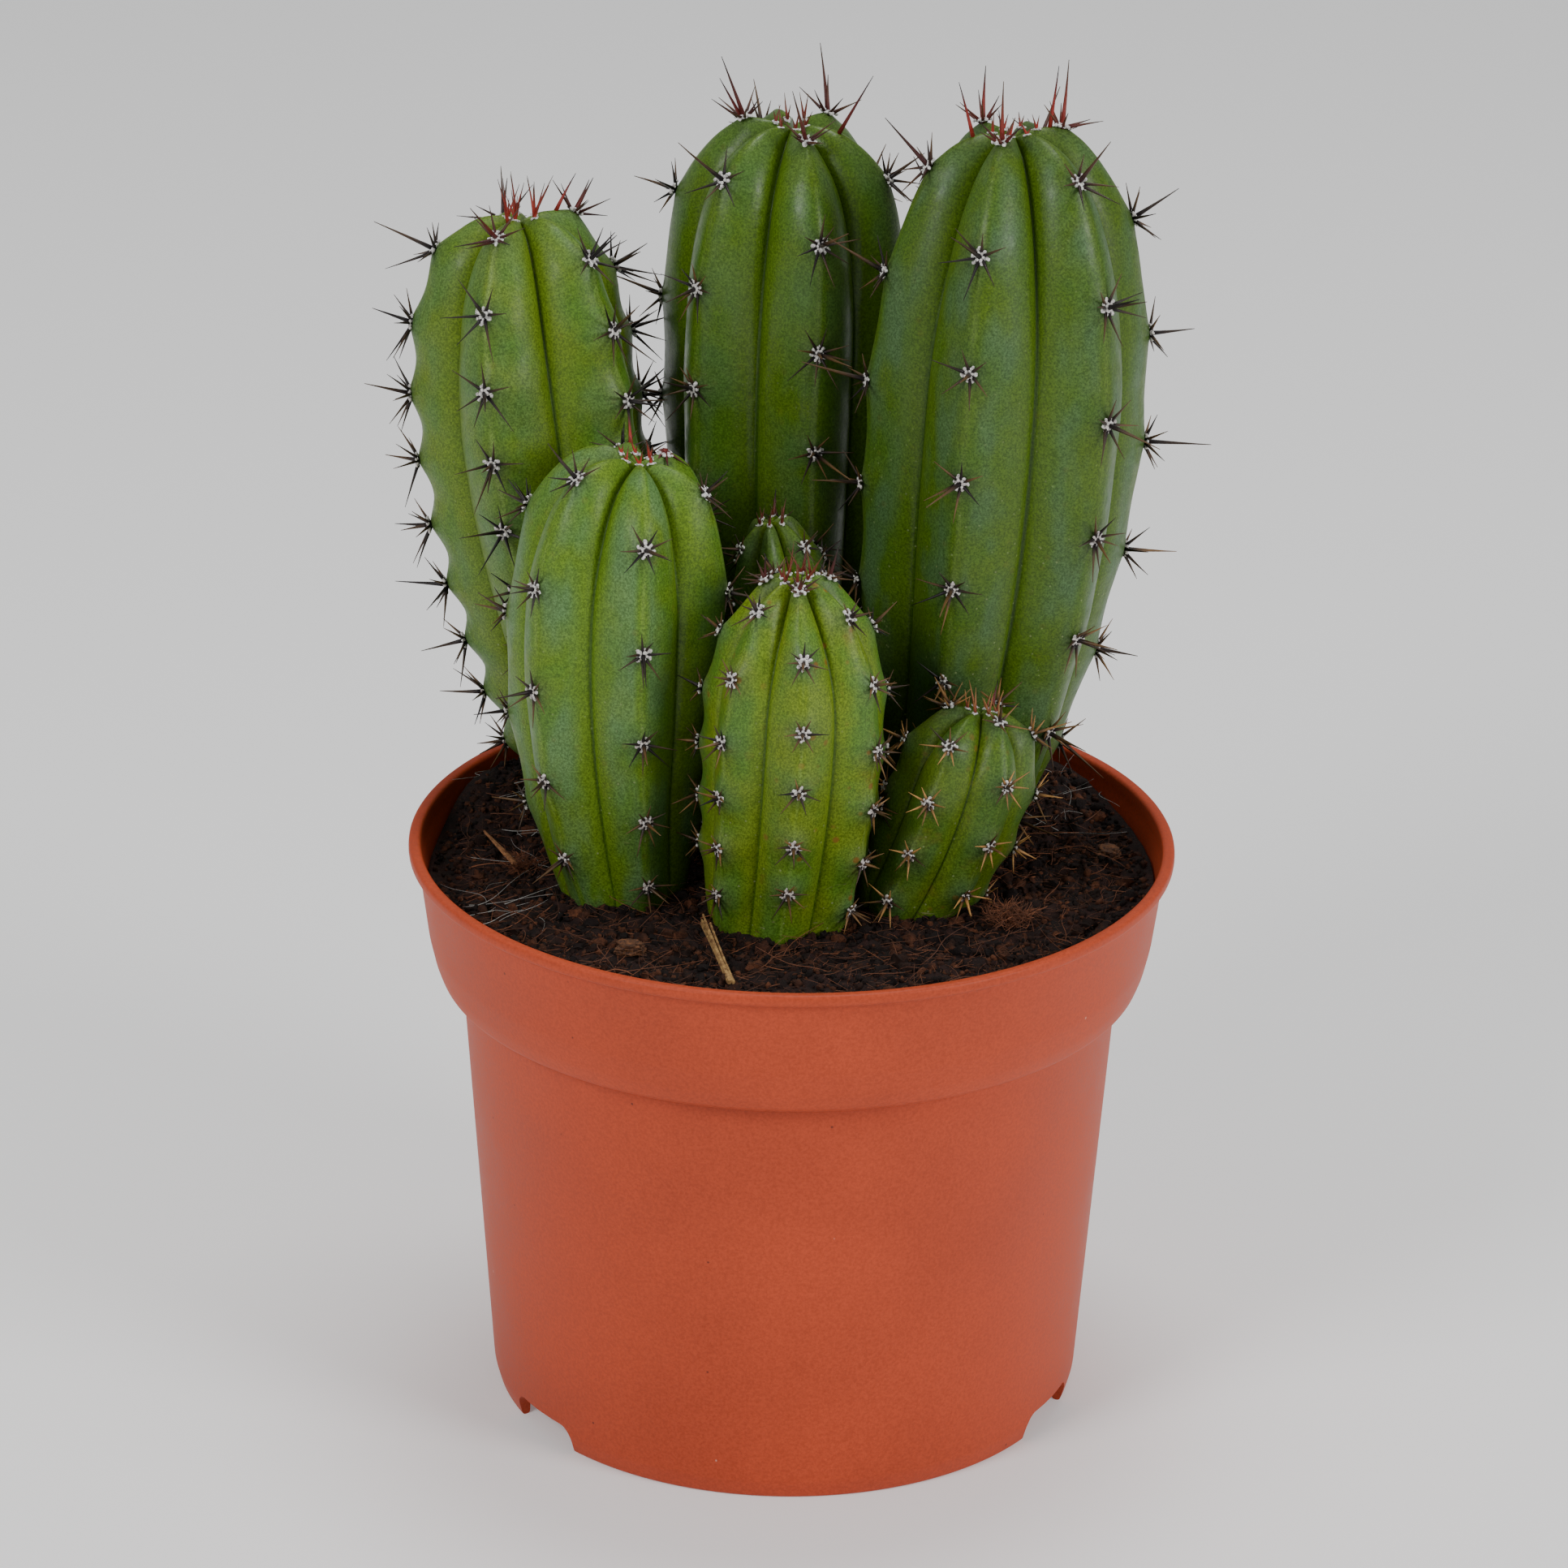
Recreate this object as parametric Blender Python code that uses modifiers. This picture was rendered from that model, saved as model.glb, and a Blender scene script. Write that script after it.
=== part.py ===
"""A clump of seven ribbed column cactus stems, growing in peat in a round plastic grower's pot.

Units are metres, +Z is up, and the origin is on the pot's axis at the ground it stands on.
The plant's front is towards -Y.
"""

import math
from dataclasses import dataclass

import bmesh
import bpy
from mathutils import Matrix, Vector

MM = 0.001
CLEARANCE = 0.3 * MM  # left between the root ball and the pot's floor
COLLECTION_NAME = "potted_tall_cactus"
CUTTER_COLLECTION_NAME = "cutters"

# Pot
POT_HEIGHT = 92.3 * MM
RIM_RADIUS = 60.0 * MM
RIM_INNER_RADIUS = 58.1 * MM
LIP_THICKNESS = 1.8 * MM
LIP_ROUNDING = 0.4 * MM
COLLAR_TOP_RADIUS = 58.6 * MM
COLLAR_LOW_RADIUS = 56.0 * MM
COLLAR_BASE_HEIGHT = 70.4 * MM
COLLAR_UNDERSIDE_RADIUS = 54.0 * MM
# the collar's rounded lower edge: distance past its low radius, height over its base
COLLAR_EDGE = ((0.6 * MM, 6.4 * MM), (0.0, 3.2 * MM), (-0.8 * MM, 1.0 * MM))
INNER_STEP_HEIGHT = COLLAR_BASE_HEIGHT + 1.0 * MM  # where the inside starts to widen
INNER_BEND_HEIGHT = COLLAR_BASE_HEIGHT + 4.4 * MM  # where it meets the collar's slope
WALL_TOP_RADIUS = 51.7 * MM
WALL_FOOT_RADIUS = 46.7 * MM
FOOT_RADIUS = 45.9 * MM
FOOT_ROUNDING_HEIGHT = 1.6 * MM
FOOT_ROUNDING_WIDTH = 0.25 * MM
WALL_THICKNESS = 1.3 * MM
FLOOR_UNDERSIDE = 5.2 * MM
FLOOR_THICKNESS = 1.3 * MM
POT_SEGMENTS = 64
NOTCH_AZIMUTHS_DEG = (-55.0, 65.0, 185.0)  # from the front, towards +X
NOTCH_WIDTH = 15.0 * MM
NOTCH_HEIGHT = 4.4 * MM
NOTCH_CORNER = 2.0 * MM
NOTCH_CORNER_SEGMENTS = 4
NOTCH_DEPTH = 12.0 * MM
DRAIN_HOLE_RADIUS = 4.0 * MM
DRAIN_HOLE_CIRCLE = 34.0 * MM
DRAIN_HOLE_SIDES = 24

# Soil
SOIL_LEVEL = 86.4 * MM
SOIL_RINGS = 8
SOIL_SEGMENTS = 56
SOIL_WALL_GAP = 0.5 * MM
# centre x, centre y, height over the level, spread
SOIL_MOUNDS = (
    (-34.0 * MM, 36.0 * MM, 3.6 * MM, 15.0 * MM),
    (38.0 * MM, 33.0 * MM, 4.2 * MM, 16.0 * MM),
    (44.0 * MM, -14.0 * MM, 1.2 * MM, 12.0 * MM),
    (-44.0 * MM, -8.0 * MM, -1.2 * MM, 14.0 * MM),
    (8.0 * MM, -40.0 * MM, 0.8 * MM, 10.0 * MM),
)
STEM_BASE_LEVEL = 87.0 * MM
BURIED_LENGTH = 15.0 * MM
BURIED_LEAN = 0.3  # of the lean above ground

# Shape shared by the stems
POINTS_PER_RIB = 4
SIDE_RINGS = 8
DOME_RINGS = 7
DOME_RING_CROWDING = 0.85  # under 1 puts the rings closer together towards the apex
AXIS_STEP = 0.001  # fraction of the stem over which its direction is measured
GROOVE_DEPTH = 0.28  # of the crest's radius
GROOVE_DEPTH_BURIED = 0.16
GROOVE_FULL_FRACTION = 0.25  # height at which the groove reaches its full depth
CREST_ROUNDING = 0.02
FLANK_LINEAR_SHARE = 0.75
CROWN_DIMPLE_DEPTH = 0.11  # of the largest radius
CROWN_DIMPLE_REACH = 0.5  # of the largest radius
ROOT_END_RATIO = 0.55
ROOT_TAPER_START = 0.75  # of the buried length
ROOT_TIP_LENGTH = 0.8 * MM
SOCKET_CLEARANCE = 0.45 * MM
SOCKET_END_CLEARANCE = 0.6 * MM
SOCKET_TOP_FRACTION = 0.3
CROWN_SPINE_RADIUS = 0.5 * MM
CROWN_SPINE_SIDES = 5
CROWN_SPINE_TIP_RATIO = 0.15
CROWN_SPINE_SINK = 1.2 * MM


@dataclass(frozen=True)
class Stem:
    """One stem: where its axis starts and ends, and how its ribs swell along it, in millimetres."""

    name: str
    base: tuple  # x, y of the axis at the base level
    apex: tuple  # x, y, z of the crown, where the rib crests meet
    bow: tuple  # x, y by which the axis bulges sideways between them
    radius: float  # of the rib crests at the widest place
    widest: float  # height of that place, as a fraction of the stem
    base_ratio: float  # crest radius at the base, over the largest
    shoulder: tuple  # exponents of the crown's rise and of its narrowing
    ribs: int
    first_rib_deg: float  # azimuth of one rib from the front, towards +X
    twist_deg: float = 0.0
    crown_spines: tuple = ()  # rib number, height fraction, length, lean outwards in degrees


STEMS = (
    Stem("stem_left", (-27.6, 31.2), (-43.8, 32.4, 184.2), (-3.2, -2.0), 18.4, 0.63, 0.54, (2.6, 2.6),
         ribs=5, first_rib_deg=-19.5, crown_spines=((0, 0.995, 6.0, 25), (2, 0.99, 6.5, 30))),
    Stem("stem_back", (-1.5, 36.4), (-1.7, 37.0, 198.6), (-1.0, 1.5), 19.4, 0.70, 0.59, (3.1, 2.1),
         ribs=6, first_rib_deg=16.0, crown_spines=((1, 0.985, 11.0, 28), (4, 0.985, 7.0, 30))),
    Stem("stem_right", (23.6, 17.8), (32.4, 15.2, 205.0), (3.6, -2.0), 21.9, 0.60, 0.40, (2.35, 2.4),
         ribs=6, first_rib_deg=-18.0, crown_spines=((2, 0.994, 9.5, 8),)),
    Stem("stem_front_left", (-26.2, -5.6), (-24.2, -3.2, 157.2), (-2.8, 0.2), 17.2, 0.62, 0.36, (2.4, 2.9),
         ribs=6, first_rib_deg=23.0, twist_deg=-13.0, crown_spines=((3, 0.985, 5.0, 25),)),
    Stem("stem_front", (-2.1, -15.8), (0.0, -18.6, 144.4), (1.2, 0.0), 14.6, 0.52, 0.61, (2.45, 1.65),
         ribs=7, first_rib_deg=2.0, twist_deg=4.0, crown_spines=((3, 0.985, 4.0, 20),)),
    Stem("stem_front_right", (18.3, -9.8), (29.0, -11.0, 119.4), (1.4, -0.9), 10.9, 0.54, 0.64, (2.8, 2.2),
         ribs=6, first_rib_deg=-27.5, crown_spines=((3, 0.985, 4.0, 25),)),
    Stem("stem_middle", (-1.4, 9.6), (-4.0, 8.6, 142.6), (1.4, 1.0), 8.4, 0.64, 0.70, (2.4, 2.1),
         ribs=6, first_rib_deg=-7.0, crown_spines=((3, 0.985, 4.0, 25),)),
)

# Loose pieces on the soil: each place is x, y and a heading in degrees
STRAW_PLACE = (-10.7 * MM, -35.0 * MM, 105.0)
TWIG_PLACE = (-45.6 * MM, 3.7 * MM, 131.0)
COIR_PLACE = (33.5 * MM, -21.0 * MM, 15.0)
BARK_FRONT_PLACE = (-24.5 * MM, -32.5 * MM, 25.0)
BARK_RIGHT_PLACE = (50.0 * MM, 6.0 * MM, 70.0)
STRAW_LENGTH = 20.0 * MM
STRAW_RADIUS = 0.65 * MM
STRAW_RISE = 2.0 * MM
TWIG_LENGTH = 9.5 * MM
TWIG_RADIUS = 0.6 * MM
TWIG_RISE = 2.0 * MM
STALK_STATIONS = (-0.5, -0.17, 0.17, 0.5)  # along the stalk, from its middle
STALK_BEND = 0.10  # of its length
COIR_RADII = (5.0 * MM, 3.6 * MM, 1.3 * MM)
BARK_RADII = (2.6 * MM, 1.8 * MM, 0.9 * MM)
LOOSE_LIFT = 0.7 * MM
SHARP_ANGLE_DEG = 40.0
SCREW_MERGE = 0.01 * MM

PLASTIC_COLOUR = (0.46, 0.11, 0.05, 1.0)
PEAT_COLOUR = (0.030, 0.014, 0.010, 1.0)
STEM_COLOUR = (0.11, 0.21, 0.035, 1.0)
STRAW_COLOUR = (0.45, 0.30, 0.12, 1.0)
TWIG_COLOUR = (0.30, 0.10, 0.03, 1.0)
COIR_COLOUR = (0.13, 0.045, 0.015, 1.0)
BARK_COLOUR = (0.22, 0.11, 0.04, 1.0)


def remove_all_objects():
    for thing in list(bpy.data.objects):
        bpy.data.objects.remove(thing, do_unlink=True)


def collection(name):
    made = bpy.data.collections.new(name)
    bpy.context.scene.collection.children.link(made)
    return made


def material(name, colour, roughness):
    made = bpy.data.materials.new(name)
    made.use_nodes = True
    shader = made.node_tree.nodes["Principled BSDF"]
    shader.inputs["Base Color"].default_value = colour
    shader.inputs["Roughness"].default_value = roughness
    shader.inputs["Metallic"].default_value = 0.0
    made.diffuse_color = colour
    return made


def object_from_bmesh(name, bm, home, finish):
    bmesh.ops.recalc_face_normals(bm, faces=bm.faces)
    mesh = bpy.data.meshes.new(name)
    bm.to_mesh(mesh)
    bm.free()
    made = bpy.data.objects.new(name, mesh)
    home.objects.link(made)
    if finish is not None:
        mesh.materials.append(finish)
    mesh.shade_smooth()
    mesh.set_sharp_from_angle(angle=math.radians(SHARP_ANGLE_DEG))
    return made


def add_boolean(target, cutter, operation):
    step = target.modifiers.new(f"{operation.lower()}_{cutter.name}", "BOOLEAN")
    step.operation = operation
    step.solver = "EXACT"
    step.object = cutter


def make_cutter_hidden(cutter):
    cutter.hide_render = True
    cutter.display_type = "WIRE"


def turned(name, profile, segments, home, finish):
    """A profile of (radius, height) points, from the top of the axis round to its bottom, turned about Z."""
    bm = bmesh.new()
    points = [bm.verts.new((radius, 0.0, height)) for radius, height in profile]
    for first, second in zip(points, points[1:]):
        bm.edges.new((first, second))
    mesh = bpy.data.meshes.new(name)
    bm.to_mesh(mesh)
    bm.free()
    made = bpy.data.objects.new(name, mesh)
    home.objects.link(made)
    mesh.materials.append(finish)
    screw = made.modifiers.new("turn", "SCREW")
    screw.steps = segments
    screw.render_steps = segments
    screw.use_merge_vertices = True
    screw.merge_threshold = SCREW_MERGE
    screw.use_smooth_shade = True
    return made


def pot_inner_radius(height):
    """The inside of the pot's wall: a straight cone, then the wider collar."""
    floor_top = FLOOR_UNDERSIDE + FLOOR_THICKNESS
    if height <= INNER_STEP_HEIGHT:
        part = (height - floor_top) / (INNER_STEP_HEIGHT - floor_top)
        low = WALL_FOOT_RADIUS - WALL_THICKNESS
        high = WALL_TOP_RADIUS - WALL_THICKNESS
        return low + (high - low) * part
    bend_radius = COLLAR_LOW_RADIUS - WALL_THICKNESS
    if height <= INNER_BEND_HEIGHT:
        part = (height - INNER_STEP_HEIGHT) / (INNER_BEND_HEIGHT - INNER_STEP_HEIGHT)
        start = WALL_TOP_RADIUS - WALL_THICKNESS
        return start + (bend_radius - start) * part
    part = (height - INNER_BEND_HEIGHT) / (POT_HEIGHT - INNER_BEND_HEIGHT)
    return bend_radius + (RIM_INNER_RADIUS - bend_radius) * part


def pot_profile():
    floor_top = FLOOR_UNDERSIDE + FLOOR_THICKNESS
    lip_foot = POT_HEIGHT - LIP_THICKNESS
    inner = [(0.0, floor_top)]
    for height in (floor_top, INNER_STEP_HEIGHT, INNER_BEND_HEIGHT, lip_foot):
        inner.append((pot_inner_radius(height), height))
    lip = [
        (RIM_INNER_RADIUS, POT_HEIGHT - LIP_ROUNDING),
        (RIM_INNER_RADIUS + LIP_ROUNDING, POT_HEIGHT),
        (RIM_RADIUS - LIP_ROUNDING, POT_HEIGHT),
        (RIM_RADIUS, POT_HEIGHT - LIP_ROUNDING),
        (RIM_RADIUS, lip_foot + LIP_ROUNDING),
        (RIM_RADIUS - LIP_ROUNDING, lip_foot),
        (COLLAR_TOP_RADIUS, lip_foot - LIP_ROUNDING),
    ]
    collar = [(COLLAR_LOW_RADIUS + out, COLLAR_BASE_HEIGHT + up) for out, up in COLLAR_EDGE]
    collar += [
        (COLLAR_UNDERSIDE_RADIUS, COLLAR_BASE_HEIGHT),
        (WALL_TOP_RADIUS, COLLAR_BASE_HEIGHT - LIP_ROUNDING),
    ]
    foot_inner = FOOT_RADIUS - WALL_THICKNESS
    foot = [
        (WALL_FOOT_RADIUS, FOOT_ROUNDING_HEIGHT * 2.0),
        (WALL_FOOT_RADIUS - FOOT_ROUNDING_WIDTH, FOOT_ROUNDING_HEIGHT * 0.5),
        (FOOT_RADIUS, 0.0),
        (foot_inner, 0.0),
        (foot_inner, FLOOR_UNDERSIDE),
        (0.0, FLOOR_UNDERSIDE),
    ]
    return inner + lip + collar + foot


def notch_cutter(index, azimuth, home):
    """A block with two rounded upper corners, across the foot ring."""
    bm = bmesh.new()
    bmesh.ops.create_cube(bm, size=1.0)
    bmesh.ops.scale(bm, vec=(NOTCH_WIDTH, NOTCH_DEPTH, NOTCH_HEIGHT * 2.0), verts=bm.verts)
    top = [edge for edge in bm.edges if all(point.co.z > 0.0 for point in edge.verts)]
    corners = [edge for edge in top if edge.verts[0].co.x * edge.verts[1].co.x > 0.0]
    bmesh.ops.bevel(
        bm, geom=corners, offset=NOTCH_CORNER, segments=NOTCH_CORNER_SEGMENTS, profile=0.5, affect="EDGES",
        material=-1,
    )
    outward = Matrix.Translation((0.0, -FOOT_RADIUS, 0.0))
    bmesh.ops.transform(bm, matrix=Matrix.Rotation(azimuth, 4, "Z") @ outward, verts=bm.verts)
    cutter = object_from_bmesh(f"notch_cutter_{index}", bm, home, None)
    make_cutter_hidden(cutter)
    return cutter


def drain_cutter(index, azimuth, home):
    """A round hole through the floor, beside a notch."""
    bm = bmesh.new()
    bmesh.ops.create_cone(
        bm, cap_ends=True, segments=DRAIN_HOLE_SIDES, radius1=DRAIN_HOLE_RADIUS, radius2=DRAIN_HOLE_RADIUS,
        depth=FLOOR_THICKNESS * 4.0,
    )
    middle = FLOOR_UNDERSIDE + FLOOR_THICKNESS * 0.5
    place = Matrix.Rotation(azimuth, 4, "Z") @ Matrix.Translation((0.0, -DRAIN_HOLE_CIRCLE, middle))
    bmesh.ops.transform(bm, matrix=place, verts=bm.verts)
    cutter = object_from_bmesh(f"drain_cutter_{index}", bm, home, None)
    make_cutter_hidden(cutter)
    return cutter


def make_pot(parts, cutters):
    finish = material("terracotta_plastic", PLASTIC_COLOUR, 0.5)
    pot = turned("pot", pot_profile(), POT_SEGMENTS, parts, finish)
    for index, degrees in enumerate(NOTCH_AZIMUTHS_DEG):
        azimuth = math.radians(degrees)
        add_boolean(pot, notch_cutter(index, azimuth, cutters), "DIFFERENCE")
        add_boolean(pot, drain_cutter(index, azimuth, cutters), "DIFFERENCE")
    return pot


def stem_axis(stem, fraction):
    """A point of the stem's axis: a bowed line from base to apex, carried on more upright below the base."""
    base = Vector((stem.base[0], stem.base[1], 0.0)) * MM + Vector((0.0, 0.0, STEM_BASE_LEVEL))
    apex = Vector(stem.apex) * MM
    bow = Vector((stem.bow[0], stem.bow[1], 0.0)) * MM * 4.0
    if fraction < 0.0:
        lean = apex - base + bow
        lean.xy *= BURIED_LEAN
        return base + lean * fraction
    return base + (apex - base) * fraction + bow * (fraction * (1.0 - fraction))


def stem_frame(stem, fraction):
    """The axis point there, with its upward direction and two directions across it."""
    up = (stem_axis(stem, fraction + AXIS_STEP) - stem_axis(stem, fraction - AXIS_STEP)).normalized()
    right = Vector((1.0, 0.0, 0.0))
    right = (right - up * right.dot(up)).normalized()
    return stem_axis(stem, fraction), up, right, up.cross(right)


def stem_length(stem):
    return (stem_axis(stem, 1.0) - stem_axis(stem, 0.0)).length


def crest_radius(stem, fraction):
    """Radius of the rib crests below the shoulder: narrow at the base, swelling to the widest place."""
    start = -BURIED_LENGTH / stem_length(stem)
    part = max(0.0, (fraction - start) / (stem.widest - start))
    swell = math.sin(0.5 * math.pi * part)
    return stem.radius * MM * (stem.base_ratio + (1.0 - stem.base_ratio) * swell)


def crest_line(stem):
    """(height fraction, crest radius, groove depth) of each ring, from the buried end to the apex."""
    start = -BURIED_LENGTH / stem_length(stem)
    rings = [(start, crest_radius(stem, start) * ROOT_END_RATIO, 0.0)]
    for index in range(SIDE_RINGS + 1):
        part = index / (SIDE_RINGS + 1)
        fraction = start * ROOT_TAPER_START * (1.0 - part) + stem.widest * part
        grown = min(1.0, max(0.0, (fraction - start) / (GROOVE_FULL_FRACTION - start)))
        depth = GROOVE_DEPTH_BURIED + (GROOVE_DEPTH - GROOVE_DEPTH_BURIED) * grown
        rings.append((fraction, crest_radius(stem, fraction), depth))
    rise, narrowing = stem.shoulder
    for index in range(DOME_RINGS):
        angle = 0.5 * math.pi * (index / DOME_RINGS) ** DOME_RING_CROWDING
        fraction = stem.widest + (1.0 - stem.widest) * math.sin(angle) ** (2.0 / rise)
        radius = stem.radius * MM * math.cos(angle) ** (2.0 / narrowing)
        rings.append((fraction, radius, GROOVE_DEPTH))
    return rings


def crown_dimple(stem, radius):
    """How far the surface sinks towards the crown's centre."""
    reach = CROWN_DIMPLE_REACH * stem.radius * MM
    if radius >= reach:
        return 0.0
    return CROWN_DIMPLE_DEPTH * stem.radius * MM * (1.0 - radius / reach) ** 2


def flank_drop(across):
    """From 0 on a rib's crest to about 1 in the groove: convex flanks that meet in a sharp groove."""
    across = abs(across)
    straight = math.sqrt(across * across + CREST_ROUNDING) - math.sqrt(CREST_ROUNDING)
    return FLANK_LINEAR_SHARE * straight + (1.0 - FLANK_LINEAR_SHARE) * across ** 3


def outward_slopes(rings, length):
    """The outward normal (across, up) of the crest line at each ring."""
    slopes = []
    for index in range(len(rings)):
        low = rings[max(index - 1, 0)]
        high = rings[min(index + 1, len(rings) - 1)]
        climb = (high[0] - low[0]) * length
        widen = high[1] - low[1]
        size = math.hypot(climb, widen)
        slopes.append((climb / size, -widen / size))
    return slopes


def stem_point(stem, ring, slope, turn, growth):
    """A surface point: turn counts ribs round the stem, growth swells the whole surface outwards."""
    fraction, radius, depth = ring
    centre, up, right, back = stem_frame(stem, fraction)
    across = (turn - round(turn)) * 2.0
    drop = depth * radius * flank_drop(across)
    reach = max(radius - drop * slope[0], 0.0) + growth
    lift = -drop * slope[1] - crown_dimple(stem, radius)
    azimuth = math.radians(stem.first_rib_deg + stem.twist_deg * fraction - 90.0)
    azimuth += turn * 2.0 * math.pi / stem.ribs
    return centre + (right * math.cos(azimuth) + back * math.sin(azimuth)) * reach + up * lift


def add_stem_rings(bm, stem, rings, growth):
    slopes = outward_slopes(rings, stem_length(stem))
    count = stem.ribs * POINTS_PER_RIB
    made = []
    for ring, slope in zip(rings, slopes):
        places = [stem_point(stem, ring, slope, step / POINTS_PER_RIB, growth) for step in range(count)]
        made.append([bm.verts.new(place) for place in places])
    for low, high in zip(made, made[1:]):
        for step in range(count):
            following = (step + 1) % count
            bm.faces.new((low[step], low[following], high[following], high[step]))
    return made


def close_with_fan(bm, loop, tip):
    centre = bm.verts.new(tip)
    for step, point in enumerate(loop):
        bm.faces.new((centre, point, loop[(step + 1) % len(loop)]))


def crown_spine_base(stem, rib, fraction):
    """Where a crown spine leaves its rib's crest, and the direction across the stem there."""
    rise, narrowing = stem.shoulder
    sine = ((fraction - stem.widest) / (1.0 - stem.widest)) ** (rise / 2.0)
    radius = stem.radius * MM * math.sqrt(max(0.0, 1.0 - sine * sine)) ** (2.0 / narrowing)
    centre, up, right, back = stem_frame(stem, fraction)
    azimuth = math.radians(stem.first_rib_deg + stem.twist_deg * fraction - 90.0)
    azimuth += rib * 2.0 * math.pi / stem.ribs
    outwards = right * math.cos(azimuth) + back * math.sin(azimuth)
    return centre + outwards * radius - up * crown_dimple(stem, radius), up, outwards


def crown_spines(stem, cutters, finish):
    """The long spines of the crown's youngest areoles, one object, to be joined to the stem."""
    bm = bmesh.new()
    for rib, fraction, length, lean in stem.crown_spines:
        foot, up, outwards = crown_spine_base(stem, rib, fraction)
        along = up * math.cos(math.radians(lean)) + outwards * math.sin(math.radians(lean))
        foot = foot - along * CROWN_SPINE_SINK
        full = length * MM + CROWN_SPINE_SINK
        turn = along.to_track_quat("Z", "Y").to_matrix().to_4x4()
        place = Matrix.Translation(foot + along * full * 0.5) @ turn
        bmesh.ops.create_cone(
            bm, cap_ends=True, segments=CROWN_SPINE_SIDES, radius1=CROWN_SPINE_RADIUS,
            radius2=CROWN_SPINE_RADIUS * CROWN_SPINE_TIP_RATIO, depth=full, matrix=place,
        )
    made = object_from_bmesh(f"{stem.name}_crown_spines", bm, cutters, finish)
    make_cutter_hidden(made)
    return made


def make_stem(stem, parts, cutters, finish):
    bm = bmesh.new()
    rings = crest_line(stem)
    loops = add_stem_rings(bm, stem, rings, 0.0)
    centre, up, _, _ = stem_frame(stem, 1.0)
    close_with_fan(bm, loops[-1], centre - up * crown_dimple(stem, 0.0))
    bottom, up, _, _ = stem_frame(stem, rings[0][0])
    close_with_fan(bm, loops[0], bottom - up * ROOT_TIP_LENGTH)
    made = object_from_bmesh(stem.name, bm, parts, finish)
    add_boolean(made, crown_spines(stem, cutters, finish), "UNION")
    return made


def socket_cutter(stem, cutters):
    """The stem's buried end, a clearance larger, to make its place in the soil."""
    bm = bmesh.new()
    rings = [ring for ring in crest_line(stem) if ring[0] < SOCKET_TOP_FRACTION]
    loops = add_stem_rings(bm, stem, rings, SOCKET_CLEARANCE)
    centre, _, _, _ = stem_frame(stem, rings[-1][0])
    close_with_fan(bm, loops[-1], centre)
    bottom, up, _, _ = stem_frame(stem, rings[0][0])
    close_with_fan(bm, loops[0], bottom - up * (ROOT_TIP_LENGTH + SOCKET_END_CLEARANCE * 2.0))
    for point in loops[0]:
        point.co -= up * SOCKET_END_CLEARANCE
    made = object_from_bmesh(f"socket_{stem.name}", bm, cutters, None)
    make_cutter_hidden(made)
    return made


def soil_height(x, y):
    height = SOIL_LEVEL
    for centre_x, centre_y, rise, spread in SOIL_MOUNDS:
        away = math.hypot(x - centre_x, y - centre_y) / spread
        height += rise * math.exp(-away * away)
    return height


def make_soil(parts, cutters):
    """The root ball: it fills the pot to a little below the rim, and its top rises in low mounds."""
    bm = bmesh.new()
    floor = FLOOR_UNDERSIDE + FLOOR_THICKNESS + CLEARANCE
    loops = []
    for height in (floor, INNER_STEP_HEIGHT, INNER_BEND_HEIGHT):
        radius = pot_inner_radius(height) - SOIL_WALL_GAP
        loops.append(circle_of_points(bm, radius, lambda x, y, level=height: level))
    for index in range(SOIL_RINGS):
        radius = (pot_inner_radius(SOIL_LEVEL) - SOIL_WALL_GAP) * (1.0 - index / SOIL_RINGS)
        loops.append(circle_of_points(bm, radius, soil_height))
    for low, high in zip(loops, loops[1:]):
        for step in range(SOIL_SEGMENTS):
            following = (step + 1) % SOIL_SEGMENTS
            bm.faces.new((low[step], low[following], high[following], high[step]))
    close_with_fan(bm, loops[-1], Vector((0.0, 0.0, soil_height(0.0, 0.0))))
    close_with_fan(bm, loops[0], Vector((0.0, 0.0, floor)))
    made = object_from_bmesh("soil", bm, parts, material("peat", PEAT_COLOUR, 0.95))
    for stem in STEMS:
        add_boolean(made, socket_cutter(stem, cutters), "DIFFERENCE")
    return made


def circle_of_points(bm, radius, height_at):
    loop = []
    for step in range(SOIL_SEGMENTS):
        azimuth = 2.0 * math.pi * step / SOIL_SEGMENTS
        x = radius * math.cos(azimuth)
        y = radius * math.sin(azimuth)
        loop.append(bm.verts.new((x, y, height_at(x, y))))
    return loop


def make_stalk(name, place, length, radius, rise, parts, finish):
    """A short piece of dry stalk lying on the soil, a little bent, as a filled curve."""
    x, y, heading = place
    along = Vector((math.cos(math.radians(heading)), math.sin(math.radians(heading)), 0.0))
    across = Vector((-along.y, along.x, 0.0))
    curve = bpy.data.curves.new(name, "CURVE")
    curve.dimensions = "3D"
    curve.bevel_depth = radius
    curve.bevel_resolution = 1
    curve.use_fill_caps = True
    spline = curve.splines.new("POLY")
    spline.points.add(len(STALK_STATIONS) - 1)
    places = []
    for part in STALK_STATIONS:
        places.append(Vector((x, y, 0.0)) + (along * part + across * STALK_BEND * part ** 2) * length)
    ground = max(soil_height(place.x, place.y) for place in places)
    for point, place, part in zip(spline.points, places, STALK_STATIONS):
        point.co = (place.x, place.y, ground + radius + LOOSE_LIFT + rise * (part + 0.5), 1.0)
    made = bpy.data.objects.new(name, curve)
    parts.objects.link(made)
    curve.materials.append(finish)
    return made


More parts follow.
